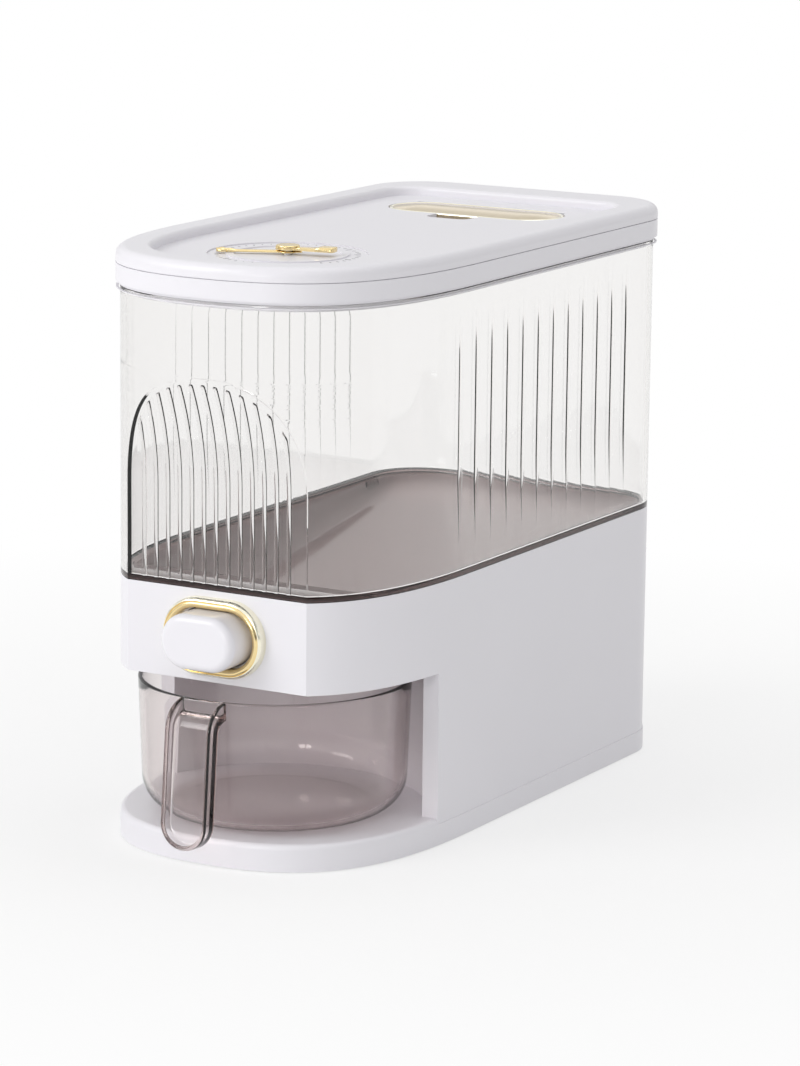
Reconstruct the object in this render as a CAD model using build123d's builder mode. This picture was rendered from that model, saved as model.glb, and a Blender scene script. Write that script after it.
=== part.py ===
"""Counter-top rice dispenser with a pull-out measuring cup.

Millimetres. +Z is up, the front (button and cup) faces -Y, and the object is the same left and right of X = 0.
The origin is on the ground, under the middle of the whole object with the cup's handle.
"""
from build123d import *
from math import cos, radians, sin, sqrt
import os

os.makedirs("parts", exist_ok=True)

# ---------------------------------------------------------------- driving dimensions
# Overall plan: the lid is the widest piece, everything below it steps in.
lid_width = 165.0
lid_depth = 330.0
front_curve_depth = 115.0  # from the lid's front to where its sides run straight
front_fullness = 0.71  # 0.55 is an ellipse, more is squarer
rear_corner_radius = 34.0
body_step = 2.0  # tank and housing, inside the lid's outline
foot_step = 1.5  # foot plate, inside the lid's outline
facet_setback = 15.6  # flat front panel, behind the lid's front

# Heights of the stack, from the ground up.
foot_clearance = 0.6
foot_height = 13.6
joint_height = 11.0  # the housing's side walls come down over the foot plate to here
cup_bay_height = 71.6
band_height = 44.0
flange_thickness = 3.0
tank_height = 135.5
tank_collar_height = 4.5
lid_reveal = 1.7  # tank shoulder to lid skirt
skirt_height = 8.8
cover_height = 7.4

# Walls and clearances.
housing_wall = 2.6
tank_wall = 2.6
foot_wall = 5.0
foot_skin = 2.8
liner_wall = 2.4
lid_wall = 3.0
running_gap = 0.3  # between pieces that move past each other
seat_gap = 0.15  # between curved faces of fixed pieces
pin_clearance = 0.05  # radial, pin in bore

# Cup and its bay.
cup_setback = 69.0  # cup centre, behind the lid's front
cup_side_room = 7.7  # cup rim to bay wall, for fingers at the front and for sliding the cup in
cup_top = 79.4
cup_wall = 2.2
cup_floor = 2.6
cup_corner_radius = 17.0
cup_draft = 1.8  # the wall leans in by this much from rim to corner
bay_side_room = 2.0  # bay liner to the housing's side wall, where they come nearest
pillar_setback = 88.0

# Cup handle: a channel open to the front, with a round lower end.
handle_width = 25.0
handle_wall = 2.2
handle_root_depth = 8.8  # height of the handle where it leaves the rim
handle_lip_reach = 4.9
handle_slant = 5.0  # its lower end stands this much further out
handle_bottom = 10.0
handle_thickness = 7.8
handle_outer_bend = 12.0
handle_inner_bend = 6.0

# Hopper.
tub_setback = 46.5
tub_wall = 2.2
tub_gap = 2.4  # room for the snap tabs between tub and housing
outlet_throat_radius = 24.0
outlet_width = 40.0
outlet_length = 11.0
hopper_floor_height = 97.0
hopper_rear_drop = 5.0  # the sloping floor ends this far below the flange
hopper_floor_thickness = 2.4
tab_width = 9.0
tab_length = 20.0
tab_thickness = 1.6
tab_hook = 0.9
tab_front = 12.0  # front tabs, behind the shoulder
tab_rear = 6.0  # rear tabs, in front of the rear corners
tab_hook_height = 1.8
tab_pocket_height = 2.6

# Arched scoop and flutes of the tank.
scoop_start = 45.0  # above the tank's lower edge
scoop_radius = 115.0
rib_count = 13
rib_pitch = 6.27
rib_width = 1.5
rib_height = 0.8
flute_count = 11
flute_pitch = 15.6
flute_setback = 104.0
flute_depth = 0.5
flute_top_margin = 20.0

# Dose button.
button_height = 22.1  # centre above the band's lower edge
bezel_width = 55.0
bezel_height = 37.5
bezel_stand = 5.6
bezel_bore_width = 41.4
bezel_bore_height = 27.6
button_width = 40.0
button_tall = 26.5
button_stand = 13.2  # button face, in front of the bezel
button_travel = 12.0
button_wall = 2.0
button_depth = 25.0
sleeve_wall = 1.8
sleeve_flange = 2.4
plate_thickness = 2.0

# Dosing gate.
gate_width = 56.0
gate_rear_overlap = 12.0
track_rail = 4.0
chute_wall = 1.6
chute_drop = 2.4
spring_radius = 4.2
spring_wire = 0.8
spring_turns = 5.0
spring_pin_radius = 2.6
post_thickness = 3.2

# Lid details.
rim_width = 16.0
rim_rear_width = 28.0
rim_rise = 4.6
lid_edge_radius = 4.5
groove_height = 0.4
groove_depth = 1.0
ledge_width = 9.0
ledge_thickness = 2.4
liner_depth = 11.2  # liner plate, below the skirt's ledge
liner_plate = 2.0
seal_height = 3.0
seal_depth = 1.2
dial_setback = 78.5
dial_radius = 38.1
dial_thickness = 1.2
dial_well_depth = 1.8
dial_well_skin = 3.0
dial_ring_inner = 25.6
dial_ring_outer = 29.3
dial_ring_height = 0.6
hub_radius = 5.7
hub_height = 0.9
pivot_radius = 2.5
pointer_thickness = 1.1
long_pointer_length = 34.0
long_pointer_width = 4.0
long_pointer_angle = 207.0
short_pointer_length = 24.0
short_pointer_width = 8.0
short_pointer_angle = 11.0
bail_width = 96.0
bail_depth = 38.0
bail_thickness = 3.0
bail_setback = 262.5
bail_gap = 0.5
bail_hinge_inset = 4.0
bail_pin_radius = 1.0
bail_pin_length = 10.0
bail_pocket_depth = 9.0
notch_width = 24.0
notch_length = 14.0

# Screws and feet.
screw_radius = 1.5
screw_head_radius = 3.2
screw_head_height = 2.0
screw_post_radius = 4.6
screw_post_sink = 1.0  # how far a housing post stands inside the side wall
screw_blind = 4.0  # solid end of a housing post above its screw hole
screw_bite = 12.0  # thread of a housing screw in its post
lid_screw_length = 10.0
housing_post_height = 22.0
housing_post_front = 22.0  # front posts, behind the shoulder
housing_post_rear = 12.0  # rear posts, in front of the rear corners
lid_post_side = 6.0  # inside the lid's rim
lid_post_front = 4.0  # front posts, in front of the shoulder
lid_post_rear = 38.0  # rear posts, in front of the bail
pad_radius = 8.0
pad_thickness = 2.2
pad_side = 24.0
pad_front = 52.0
pad_rear = 28.0

# Edge roundings and small clearances.
foot_edge_radius = 2.6
recess_edge_radius = 2.2
button_edge_radius = 4.0
bezel_edge_radius = 1.8
bail_edge_radius = 1.2
hub_edge_radius = 0.6
screw_head_room = 0.4
rib_room = 1.0  # round posts and pads in the foot plate's hollow
tab_room = 0.4
ceiling_thickness = 2.6
pocket_wall = 2.0
bail_proud = 0.4  # the bail's crown stands above the lid's floor by this much
hinge_relief = 0.8  # freedom round the bail's hinge line, beyond half its thickness
hinge_relief_reach = 1.2  # and this far past the bail's edge on the hinge line
seal_lift = 0.8
liner_side_room = 0.8
gate_room = 4.0
gate_stop = 3.0

# ---------------------------------------------------------------- levels and places worked out from them
half_width = lid_width / 2
tank_inner_step = body_step + tank_wall
housing_inner_step = body_step + housing_wall
tub_step = housing_inner_step + tub_gap
bay_radius = half_width - housing_inner_step - bay_side_room - liner_wall
cup_rim_radius = bay_radius - cup_side_room

handle_reach = cup_rim_radius + handle_lip_reach + handle_thickness + handle_slant - cup_setback
lid_rear_y = (lid_depth + handle_reach) / 2
lid_front_y = lid_rear_y - lid_depth
shoulder_y = lid_front_y + front_curve_depth
facet_y = lid_front_y + facet_setback
cup_y = lid_front_y + cup_setback
pillar_y = lid_front_y + pillar_setback
tub_front_y = lid_front_y + tub_setback
dial_y = lid_front_y + dial_setback
bail_y = lid_front_y + bail_setback

band_bottom = foot_height + cup_bay_height
band_top = band_bottom + band_height
tank_bottom = band_top + flange_thickness
tank_top = tank_bottom + tank_height
collar_top = tank_top + tank_collar_height
skirt_bottom = tank_top + lid_reveal
cover_bottom = skirt_bottom + skirt_height
lid_top = cover_bottom + cover_height
lid_floor = lid_top - rim_rise
ledge_bottom = cover_bottom - ledge_thickness
liner_bottom = ledge_bottom - liner_depth

button_z = band_bottom + button_height
bezel_y = facet_y - bezel_stand
button_face_y = bezel_y - button_stand
button_rear_y = button_face_y + button_depth
facet_inner_y = facet_y + housing_wall


def back(distance):
    """Y of a place this far behind the lid's front."""
    return lid_front_y + distance


def save(piece, name):
    """Label a finished piece and write it."""
    piece.label = name
    export_step(piece, f"parts/{name}.step")


def plan_outline(step, rear_step=None, mode=Mode.ADD):
    """Plan outline of the object, drawn this far inside the lid's outline: bowed front, straight sides."""
    half = half_width - step
    front = lid_front_y + step
    rear = lid_rear_y - (step if rear_step is None else rear_step)
    corner = max(rear_corner_radius - step, 3.0)
    bow = front_fullness * (shoulder_y - front)
    with BuildLine() as outline:
        Bezier((0, front), (front_fullness * half, front), (half, shoulder_y - bow), (half, shoulder_y))
        Line((half, shoulder_y), (half, rear - corner))
        CenterArc((half - corner, rear - corner), corner, 0, 90)
        Line((half - corner, rear), (0, rear))
        mirror(about=Plane.YZ)
    make_face(outline.edges(), mode=mode)


def cut_front(y):
    """Take everything in front of this Y out of the open sketch."""
    with Locations((0, y)):
        Rectangle(2 * lid_width, 2 * lid_depth, align=(Align.CENTER, Align.MAX), mode=Mode.SUBTRACT)


def stadium(width, height, mode=Mode.ADD):
    """Slot shape with round ends, by its outer width and height."""
    SlotOverall(width, height, mode=mode)


def front_plane(y):
    """Sketch plane that faces the front: X to the right, local Y up, centred on the button."""
    return Plane(origin=(0, y, button_z), x_dir=(1, 0, 0), z_dir=(0, -1, 0))


def upright_plane(y):
    """Sketch plane through the vertical line at X = 0 and this Y: local X is the radius, local Y is height."""
    return Plane(origin=(0, y, 0), x_dir=(1, 0, 0), z_dir=(0, -1, 0))


side_plane = Plane(origin=(0, 0, 0), x_dir=(0, 1, 0), z_dir=(1, 0, 0))  # local X is Y, local Y is Z


def both_sides(x, *ys):
    """The same places left and right of the middle."""
    return [(side * x, y) for side in (-1, 1) for y in ys]


housing_post_x = half_width - housing_inner_step - screw_post_radius + screw_post_sink
housing_post_rear_y = lid_rear_y - rear_corner_radius - housing_post_rear
housing_posts = both_sides(housing_post_x, shoulder_y + housing_post_front, housing_post_rear_y)
pad_points = both_sides(half_width - pad_side, lid_front_y + pad_front, lid_rear_y - pad_rear)
lid_posts = both_sides(half_width - rim_width - lid_post_side, shoulder_y - lid_post_front, bail_y - lid_post_rear)

# ---------------------------------------------------------------- foot plate
with BuildPart() as foot_plate:
    with BuildSketch(Plane.XY.offset(foot_clearance)):
        plan_outline(foot_step)
    extrude(amount=foot_height - foot_clearance)
    with BuildSketch(Plane.XY.offset(joint_height)):
        plan_outline(foot_step - 1)
        plan_outline(housing_inner_step + seat_gap, mode=Mode.SUBTRACT)
        cut_front(pillar_y - seat_gap)
    extrude(amount=foot_height, mode=Mode.SUBTRACT)
    front_rim = [
        edge
        for edge in foot_plate.edges().filter_by_position(Axis.Z, foot_height - 0.01, foot_height + 0.01)
        if edge.center().Y < pillar_y and edge.geom_type != GeomType.LINE
    ]
    fillet(front_rim, foot_edge_radius)
    with BuildSketch(Plane.XY.offset(foot_clearance)):
        plan_outline(foot_step + foot_wall)
        with Locations(*housing_posts):
            Circle(screw_post_radius + rib_room, mode=Mode.SUBTRACT)
        with Locations(*pad_points):
            Circle(pad_radius + 2 * rib_room, mode=Mode.SUBTRACT)
    extrude(amount=foot_height - foot_skin - foot_clearance, mode=Mode.SUBTRACT)
    with BuildSketch(Plane.XY.offset(foot_clearance)):
        with Locations(*pad_points):
            Circle(pad_radius)
    extrude(amount=pad_thickness - foot_clearance, mode=Mode.SUBTRACT)
    with BuildSketch(Plane.XY.offset(foot_clearance)):
        with Locations(*housing_posts):
            Circle(screw_head_radius + screw_head_room)
    extrude(amount=foot_height - 2 * foot_skin - foot_clearance, mode=Mode.SUBTRACT)
    with BuildSketch(Plane.XY):
        with Locations(*housing_posts):
            Circle(screw_radius)
    extrude(amount=foot_height, mode=Mode.SUBTRACT)
save(foot_plate.part, "foot_plate")

with BuildPart() as foot_pads:
    with BuildSketch(Plane.XY):
        with Locations(*pad_points):
            Circle(pad_radius)
    extrude(amount=pad_thickness)
save(foot_pads.part, "foot_pads")

# ---------------------------------------------------------------- housing
sleeve_width = bezel_bore_width + 2 * sleeve_wall
sleeve_tall = bezel_bore_height + 2 * sleeve_wall
tab_y = lid_rear_y - rear_corner_radius - tab_rear
tab_x = half_width - housing_inner_step - tab_room - tab_thickness / 2
tab_points = both_sides(tab_x, shoulder_y + tab_front, tab_y)
tab_bottom = band_top - tab_length

with BuildPart() as housing_shell:
    with BuildSketch(Plane.XY.offset(band_bottom)):
        plan_outline(body_step)
        cut_front(facet_y)
    extrude(amount=band_height)
    with BuildSketch(Plane.XY.offset(joint_height)):
        plan_outline(body_step)
        cut_front(pillar_y)
    extrude(amount=band_bottom - joint_height)
    with BuildSketch(Plane.XY.offset(band_bottom)):
        plan_outline(housing_inner_step)
        cut_front(facet_inner_y)
    extrude(amount=band_height, mode=Mode.SUBTRACT)
    with BuildSketch(Plane.XY.offset(joint_height)):
        plan_outline(housing_inner_step)
        cut_front(pillar_y + housing_wall)
    extrude(amount=band_bottom - joint_height, mode=Mode.SUBTRACT)
    with BuildSketch(Plane.XY.offset(joint_height)):
        plan_outline(housing_inner_step)
    extrude(amount=foot_height - joint_height, mode=Mode.SUBTRACT)
    with BuildSketch(Plane.XY.offset(joint_height)):
        with Locations((0, cup_y)):
            Circle(bay_radius)
    extrude(amount=band_bottom - joint_height, mode=Mode.SUBTRACT)
    with BuildSketch(Plane.XY.offset(foot_height)):
        with Locations(*housing_posts):
            Circle(screw_post_radius)
    extrude(amount=housing_post_height)
    with BuildSketch(Plane.XY.offset(foot_height)):
        with Locations(*housing_posts):
            Circle(screw_radius)
    extrude(amount=housing_post_height - screw_blind, mode=Mode.SUBTRACT)
    with BuildSketch(front_plane(facet_inner_y)):
        stadium(sleeve_width, sleeve_tall)
    extrude(amount=2 * housing_wall, mode=Mode.SUBTRACT)
    with BuildSketch(Plane.XY.offset(tab_bottom)):
        with Locations(*tab_points):
            Rectangle(tab_thickness + 2 * (tab_hook + tab_room), tab_width + 2 * tab_room)
    extrude(amount=tab_pocket_height, mode=Mode.SUBTRACT)
save(housing_shell.part, "housing_shell")

# The bay behind the cup: a curved back wall and the ceiling with the outlet.
chute_width = outlet_width + gate_room + 2 * chute_wall
chute_length = outlet_length + gate_room + 2 * chute_wall
with BuildPart() as bay_liner:
    with BuildSketch(Plane.XY.offset(foot_height)):
        with Locations((0, cup_y)):
            Circle(bay_radius + liner_wall)
            Circle(bay_radius, mode=Mode.SUBTRACT)
        cut_front(pillar_y + housing_wall)
    extrude(amount=cup_bay_height)
    with BuildSketch(Plane.XY.offset(band_bottom)):
        plan_outline(housing_inner_step + seat_gap)
        cut_front(facet_inner_y + seat_gap)
        with Locations((0, cup_y + bay_radius + liner_wall)):
            Rectangle(lid_width, lid_depth, align=(Align.CENTER, Align.MIN), mode=Mode.SUBTRACT)
        with Locations((0, cup_y)):
            Rectangle(chute_width + 2 * seat_gap, chute_length + 2 * seat_gap, mode=Mode.SUBTRACT)
    extrude(amount=ceiling_thickness)
save(bay_liner.part, "bay_liner")

# ---------------------------------------------------------------- hopper
hopper_reach = lid_rear_y - tub_step - cup_y
hopper_slope = (band_top - hopper_rear_drop - hopper_floor_height) / (hopper_reach - outlet_throat_radius)
far_radius = hopper_reach + half_width  # past the rear corners


def below_cone(drop):
    """Section of everything under the hopper's cone-shaped floor, lowered by this much."""
    floor_z = hopper_floor_height - drop
    with BuildLine() as outline:
        Polyline(
            (0, band_bottom),
            (far_radius, band_bottom),
            (far_radius, floor_z + hopper_slope * (far_radius - outlet_throat_radius)),
            (outlet_throat_radius, floor_z),
            (0, floor_z),
            close=True,
        )
    make_face(outline.edges())


with BuildPart() as grain_space:
    with BuildSketch(Plane.XY.offset(hopper_floor_height - 1)):
        plan_outline(tub_step + tub_wall)
        cut_front(tub_front_y + tub_wall)
    extrude(amount=tank_bottom - hopper_floor_height + 2)
    with BuildSketch(upright_plane(cup_y)):
        below_cone(0)
    revolve(axis=Axis((0, cup_y, 0), (0, 0, 1)), mode=Mode.SUBTRACT)

with BuildPart() as hopper:
    with BuildSketch(Plane.XY.offset(band_bottom + 2)):
        plan_outline(tub_step)
        cut_front(tub_front_y)
    extrude(amount=tank_bottom - band_bottom - 2)
    with BuildSketch(upright_plane(cup_y)):
        below_cone(hopper_floor_thickness)
    revolve(axis=Axis((0, cup_y, 0), (0, 0, 1)), mode=Mode.SUBTRACT)
    with BuildSketch(Plane.XY.offset(band_top)):
        plan_outline(body_step)
        cut_front(facet_y)
    extrude(amount=flange_thickness)
    add(grain_space.part, mode=Mode.SUBTRACT)
    with BuildSketch(Plane.XY.offset(band_bottom)):
        with Locations((0, cup_y)):
            Rectangle(outlet_width, outlet_length)
    extrude(amount=band_height, mode=Mode.SUBTRACT)
    with BuildSketch(Plane.XY.offset(tab_bottom)):
        with Locations(*tab_points):
            Rectangle(tab_thickness, tab_width)
    extrude(amount=tab_length)
    with BuildSketch(Plane.XY.offset(tab_bottom + running_gap)):
        with Locations(*tab_points):
            Rectangle(tab_thickness + 2 * tab_hook, tab_width)
    extrude(amount=tab_hook_height)
save(hopper.part, "hopper")

# ---------------------------------------------------------------- tank
scoop_bottom_z = tank_bottom + scoop_start
scoop_angle = 48.0  # how far round its arc the scoop is drawn; it leaves the tank's front well before
arc_end_y = scoop_radius * (1 - cos(radians(scoop_angle)))
arc_end_z = scoop_radius * sin(radians(scoop_angle))
arc_mid_y = scoop_radius * (1 - cos(radians(scoop_angle / 2)))
arc_mid_z = scoop_radius * sin(radians(scoop_angle / 2))


def scoop_section(shift, thickness=None):
    """Side view of the scoop's front panel, moved back by shift: all in front of it, or a strip of it."""
    y = facet_y + shift
    reach = lid_depth if thickness is None else thickness
    with BuildLine() as outline:
        Line((y, tank_bottom), (y, scoop_bottom_z))
        ThreePointArc(
            (y, scoop_bottom_z),
            (y - arc_mid_y, scoop_bottom_z + arc_mid_z),
            (y - arc_end_y, scoop_bottom_z + arc_end_z),
        )
        Line((y - arc_end_y, scoop_bottom_z + arc_end_z), (y - arc_end_y - reach, scoop_bottom_z + arc_end_z))
        if thickness is None:
            Line((y - arc_end_y - reach, scoop_bottom_z + arc_end_z), (y - arc_end_y - reach, tank_bottom))
            Line((y - arc_end_y - reach, tank_bottom), (y, tank_bottom))
        else:
            ThreePointArc(
                (y - reach - arc_end_y, scoop_bottom_z + arc_end_z),
                (y - reach - arc_mid_y, scoop_bottom_z + arc_mid_z),
                (y - reach, scoop_bottom_z),
            )
            Line((y - reach, scoop_bottom_z), (y - reach, tank_bottom))
            Line((y - reach, tank_bottom), (y, tank_bottom))
    make_face(outline.edges())


with BuildPart() as scoop_ribs:
    for index in range(rib_count):
        rib_x = (index - (rib_count - 1) / 2) * rib_pitch
        with BuildSketch(side_plane.offset(rib_x - rib_width / 2)):
            scoop_section(0.4, rib_height + 0.4)
        extrude(amount=rib_width)
    with BuildSketch(Plane.XY.offset(tank_bottom)):
        plan_outline(body_step)
    extrude(amount=tank_height, mode=Mode.INTERSECT)

with BuildPart() as tank_hollow:
    with BuildSketch(Plane.XY.offset(tank_bottom)):
        plan_outline(tank_inner_step)
    extrude(amount=tank_height + tank_collar_height)
    with BuildSketch(side_plane.offset(-lid_width)):
        scoop_section(tank_wall)
    extrude(amount=2 * lid_width, mode=Mode.SUBTRACT)

flute_radius = flute_pitch**2 / (8 * flute_depth)
flute_x = half_width - body_step - flute_depth + flute_radius
with BuildPart() as tank:
    with BuildSketch(Plane.XY.offset(tank_bottom)):
        plan_outline(body_step)
    extrude(amount=tank_height)
    with BuildSketch(side_plane.offset(-lid_width)):
        scoop_section(0)
    extrude(amount=2 * lid_width, mode=Mode.SUBTRACT)
    add(scoop_ribs.part)
    with BuildSketch(Plane.XY.offset(tank_top)):
        plan_outline(body_step + tank_wall / 2)
    extrude(amount=tank_collar_height)
    add(tank_hollow.part, mode=Mode.SUBTRACT)
    with BuildSketch(Plane.XY.offset(tank_bottom)):
        for index in range(flute_count):
            flute_y = back(flute_setback) + (index + 0.5) * flute_pitch
            with Locations((-flute_x, flute_y), (flute_x, flute_y)):
                Circle(flute_radius)
    extrude(amount=tank_height - flute_top_margin, mode=Mode.SUBTRACT)
save(tank.part, "tank")

# ---------------------------------------------------------------- lid: skirt, cover, liner, seal, screws
with BuildPart() as lid_skirt:
    with BuildSketch(Plane.XY.offset(skirt_bottom)):
        plan_outline(0)
        plan_outline(lid_wall, mode=Mode.SUBTRACT)
    extrude(amount=skirt_height)
    with BuildSketch(Plane.XY.offset(ledge_bottom)):
        plan_outline(lid_wall / 2)
        plan_outline(ledge_width, mode=Mode.SUBTRACT)
    extrude(amount=ledge_thickness)
save(lid_skirt.part, "lid_skirt")

dial_well_bottom = lid_floor - dial_well_depth
bail_pocket_bottom = lid_floor - bail_pocket_depth
bail_front_y = bail_y - bail_depth / 2
bail_hinge_y = bail_y + bail_depth / 2 - bail_hinge_inset
bail_hinge_z = lid_floor - bail_thickness / 2
pocket_width = bail_width + 2 * bail_gap
pocket_depth = bail_depth + 2 * bail_gap
bail_pin_x = pocket_width / 2 - pocket_depth / 2 + sqrt((pocket_depth / 2) ** 2 - (bail_hinge_y - bail_y) ** 2)

with BuildPart() as lid_cover:
    with BuildSketch(Plane.XY.offset(cover_bottom)):
        plan_outline(0)
    extrude(amount=cover_height)
    fillet(lid_cover.faces().sort_by(Axis.Z)[-1].outer_wire().edges(), lid_edge_radius)
    with BuildSketch(Plane.XY.offset(lid_top)):
        plan_outline(rim_width, rim_rear_width)
    extrude(amount=-rim_rise, mode=Mode.SUBTRACT)
    recess_top = lid_cover.faces().filter_by(Plane.XY).sort_by(Axis.Z)[-1].inner_wires()[0].edges()
    fillet(recess_top, recess_edge_radius)
    with BuildSketch(Plane.XY.offset(cover_bottom)):
        plan_outline(0)
        plan_outline(groove_depth, mode=Mode.SUBTRACT)
    extrude(amount=groove_height, mode=Mode.SUBTRACT)
    with BuildSketch(Plane.XY.offset(cover_bottom)):
        plan_outline(lid_wall)
        plan_outline(rim_width - lid_wall, rim_rear_width - lid_wall, mode=Mode.SUBTRACT)
    extrude(amount=cover_height - lid_wall, mode=Mode.SUBTRACT)
    with BuildSketch(Plane.XY.offset(dial_well_bottom - dial_well_skin)):
        with Locations((0, dial_y)):
            Circle(dial_radius + lid_wall)
    extrude(amount=dial_well_skin)
    with BuildSketch(Plane.XY.offset(dial_well_bottom)):
        with Locations((0, dial_y)):
            Circle(dial_radius + seat_gap)
    extrude(amount=dial_well_depth, mode=Mode.SUBTRACT)
    with BuildSketch(Plane.XY.offset(bail_pocket_bottom - pocket_wall)):
        with Locations((0, bail_y)):
            stadium(pocket_width + 2 * pocket_wall, pocket_depth + 2 * pocket_wall)
        with Locations((0, bail_front_y)):
            Rectangle(notch_width + 2 * pocket_wall, 2 * (notch_length + pocket_wall))
    extrude(amount=bail_pocket_depth + pocket_wall - 1)
    with BuildSketch(Plane.XY.offset(bail_pocket_bottom)):
        with Locations((0, bail_y)):
            stadium(pocket_width, pocket_depth)
        with Locations((0, bail_front_y)):
            RectangleRounded(notch_width, 2 * notch_length, 5)
    extrude(amount=bail_pocket_depth, mode=Mode.SUBTRACT)
    with BuildSketch(Plane.XY.offset(liner_bottom + liner_plate)):
        with Locations(*lid_posts):
            Circle(screw_post_radius)
    extrude(amount=cover_bottom - liner_bottom - liner_plate)
    with BuildSketch(Plane.XY.offset(liner_bottom + liner_plate)):
        with Locations(*lid_posts):
            Circle(screw_radius)
    extrude(amount=cover_bottom - liner_bottom - liner_plate - 2, mode=Mode.SUBTRACT)
    with BuildSketch(Plane.XY):
        with Locations((0, dial_y)):
            Circle(pivot_radius)
    extrude(amount=lid_top, mode=Mode.SUBTRACT)
    with BuildSketch(side_plane.offset(-bail_pin_x - hinge_relief_reach)):
        with Locations((bail_hinge_y, bail_hinge_z)):
            Circle(bail_thickness / 2 + hinge_relief)
    extrude(amount=2 * (bail_pin_x + hinge_relief_reach), mode=Mode.SUBTRACT)
    with BuildSketch(side_plane.offset(-bail_pin_x - bail_pin_length / 2)):
        with Locations((bail_hinge_y, bail_hinge_z)):
            Circle(bail_pin_radius)
    extrude(amount=2 * bail_pin_x + bail_pin_length, mode=Mode.SUBTRACT)
save(lid_cover.part, "lid_cover")

seal_bottom = liner_bottom + liner_plate + seal_lift
with BuildPart() as lid_liner:
    liner_step = tank_inner_step + liner_side_room
    with BuildSketch(Plane.XY.offset(liner_bottom)):
        plan_outline(liner_step)
    extrude(amount=liner_depth)
    with BuildSketch(Plane.XY.offset(collar_top + running_gap)):
        plan_outline(lid_wall + running_gap)
    extrude(amount=ledge_bottom - collar_top - running_gap)
    with BuildSketch(Plane.XY.offset(liner_bottom + liner_plate)):
        plan_outline(liner_step + seal_depth + 2)
    extrude(amount=liner_depth, mode=Mode.SUBTRACT)
    with BuildSketch(Plane.XY.offset(seal_bottom)):
        plan_outline(liner_step - 1)
        plan_outline(liner_step + seal_depth, mode=Mode.SUBTRACT)
    extrude(amount=seal_height, mode=Mode.SUBTRACT)
    with BuildSketch(Plane.XY.offset(liner_bottom)):
        with Locations(*lid_posts):
            Circle(screw_radius)
    extrude(amount=liner_plate, mode=Mode.SUBTRACT)
save(lid_liner.part, "lid_liner")

with BuildPart() as lid_seal:
    with BuildSketch(Plane.XY.offset(seal_bottom)):
        plan_outline(tank_inner_step + running_gap)
        plan_outline(liner_step + seal_depth, mode=Mode.SUBTRACT)
    extrude(amount=seal_height)
save(lid_seal.part, "lid_seal")


def screw_group(points, head_z, length):
    """Pan-head screws, heads down, shanks pointing up from head_z."""
    with BuildSketch(Plane.XY.offset(head_z - screw_head_height)) as heads:
        with Locations(*points):
            Circle(screw_head_radius)
    extrude(heads.sketch, amount=screw_head_height)
    with BuildSketch(Plane.XY.offset(head_z)) as shanks:
        with Locations(*points):
            Circle(screw_radius)
    extrude(shanks.sketch, amount=length)


with BuildPart() as lid_screws:
    screw_group(lid_posts, liner_bottom, lid_screw_length)
save(lid_screws.part, "lid_screws")

with BuildPart() as housing_screws:
    screw_group(housing_posts, foot_height - 2 * foot_skin, 2 * foot_skin + screw_bite)
save(housing_screws.part, "housing_screws")

# ---------------------------------------------------------------- date dial on the lid
dial_top = dial_well_bottom + dial_thickness
with BuildPart() as dial_plate:
    with BuildSketch(Plane.XY.offset(dial_well_bottom)):
        with Locations((0, dial_y)):
            Circle(dial_radius)
            Circle(pivot_radius, mode=Mode.SUBTRACT)
    extrude(amount=dial_thickness)
save(dial_plate.part, "dial_plate")

with BuildPart() as dial_ring:
    with BuildSketch(Plane.XY.offset(dial_top)):
        with Locations((0, dial_y)):
            Circle(dial_ring_outer)
            Circle(dial_ring_inner, mode=Mode.SUBTRACT)
    extrude(amount=dial_ring_height)
save(dial_ring.part, "dial_ring")

long_pointer_z = dial_top + dial_ring_height + running_gap
short_pointer_z = long_pointer_z + pointer_thickness + running_gap
hub_z = short_pointer_z + pointer_thickness + running_gap
with BuildPart() as dial_pivot:
    pivot_foot_z = dial_well_bottom - dial_well_skin - 1.2
    with BuildSketch(Plane.XY.offset(pivot_foot_z)):
        with Locations((0, dial_y)):
            Circle(pivot_radius + 2)
    extrude(amount=1.2)
    with BuildSketch(Plane.XY.offset(pivot_foot_z)):
        with Locations((0, dial_y)):
            Circle(pivot_radius)
    extrude(amount=hub_z + hub_height / 2 - pivot_foot_z)
save(dial_pivot.part, "dial_pivot")

with BuildPart() as hub_cap:
    with BuildSketch(Plane.XY.offset(hub_z)):
        with Locations((0, dial_y)):
            Circle(hub_radius)
    extrude(amount=hub_height)
    fillet(hub_cap.edges().group_by(Axis.Z)[-1], hub_edge_radius)
    with BuildSketch(Plane.XY.offset(hub_z)):
        with Locations((0, dial_y)):
            Circle(pivot_radius)
    extrude(amount=hub_height / 2, mode=Mode.SUBTRACT)
save(hub_cap.part, "hub_cap")


def pointer_plane(angle, z):
    """Plane of a dial hand, its local X along the hand."""
    direction = (cos(radians(angle)), sin(radians(angle)), 0)
    return Plane(origin=(0, dial_y, z), x_dir=direction, z_dir=(0, 0, 1))


def pointer_face(length, width, tip):
    """Flat dial hand in its own plane: an eye on the pivot and a blade that narrows at the tip."""
    Circle(hub_radius)
    with BuildLine() as outline:
        Polyline((0, width / 2), (length - tip, width / 2), (length, 0.7), (length, -0.7),
                 (length - tip, -width / 2), (0, -width / 2), close=True)
    make_face(outline.edges())
    Circle(pivot_radius + pin_clearance, mode=Mode.SUBTRACT)


with BuildPart() as long_pointer:
    with BuildSketch(pointer_plane(long_pointer_angle, long_pointer_z)):
        pointer_face(long_pointer_length, long_pointer_width, 7.0)
    extrude(amount=pointer_thickness)
save(long_pointer.part, "long_pointer")

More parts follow.
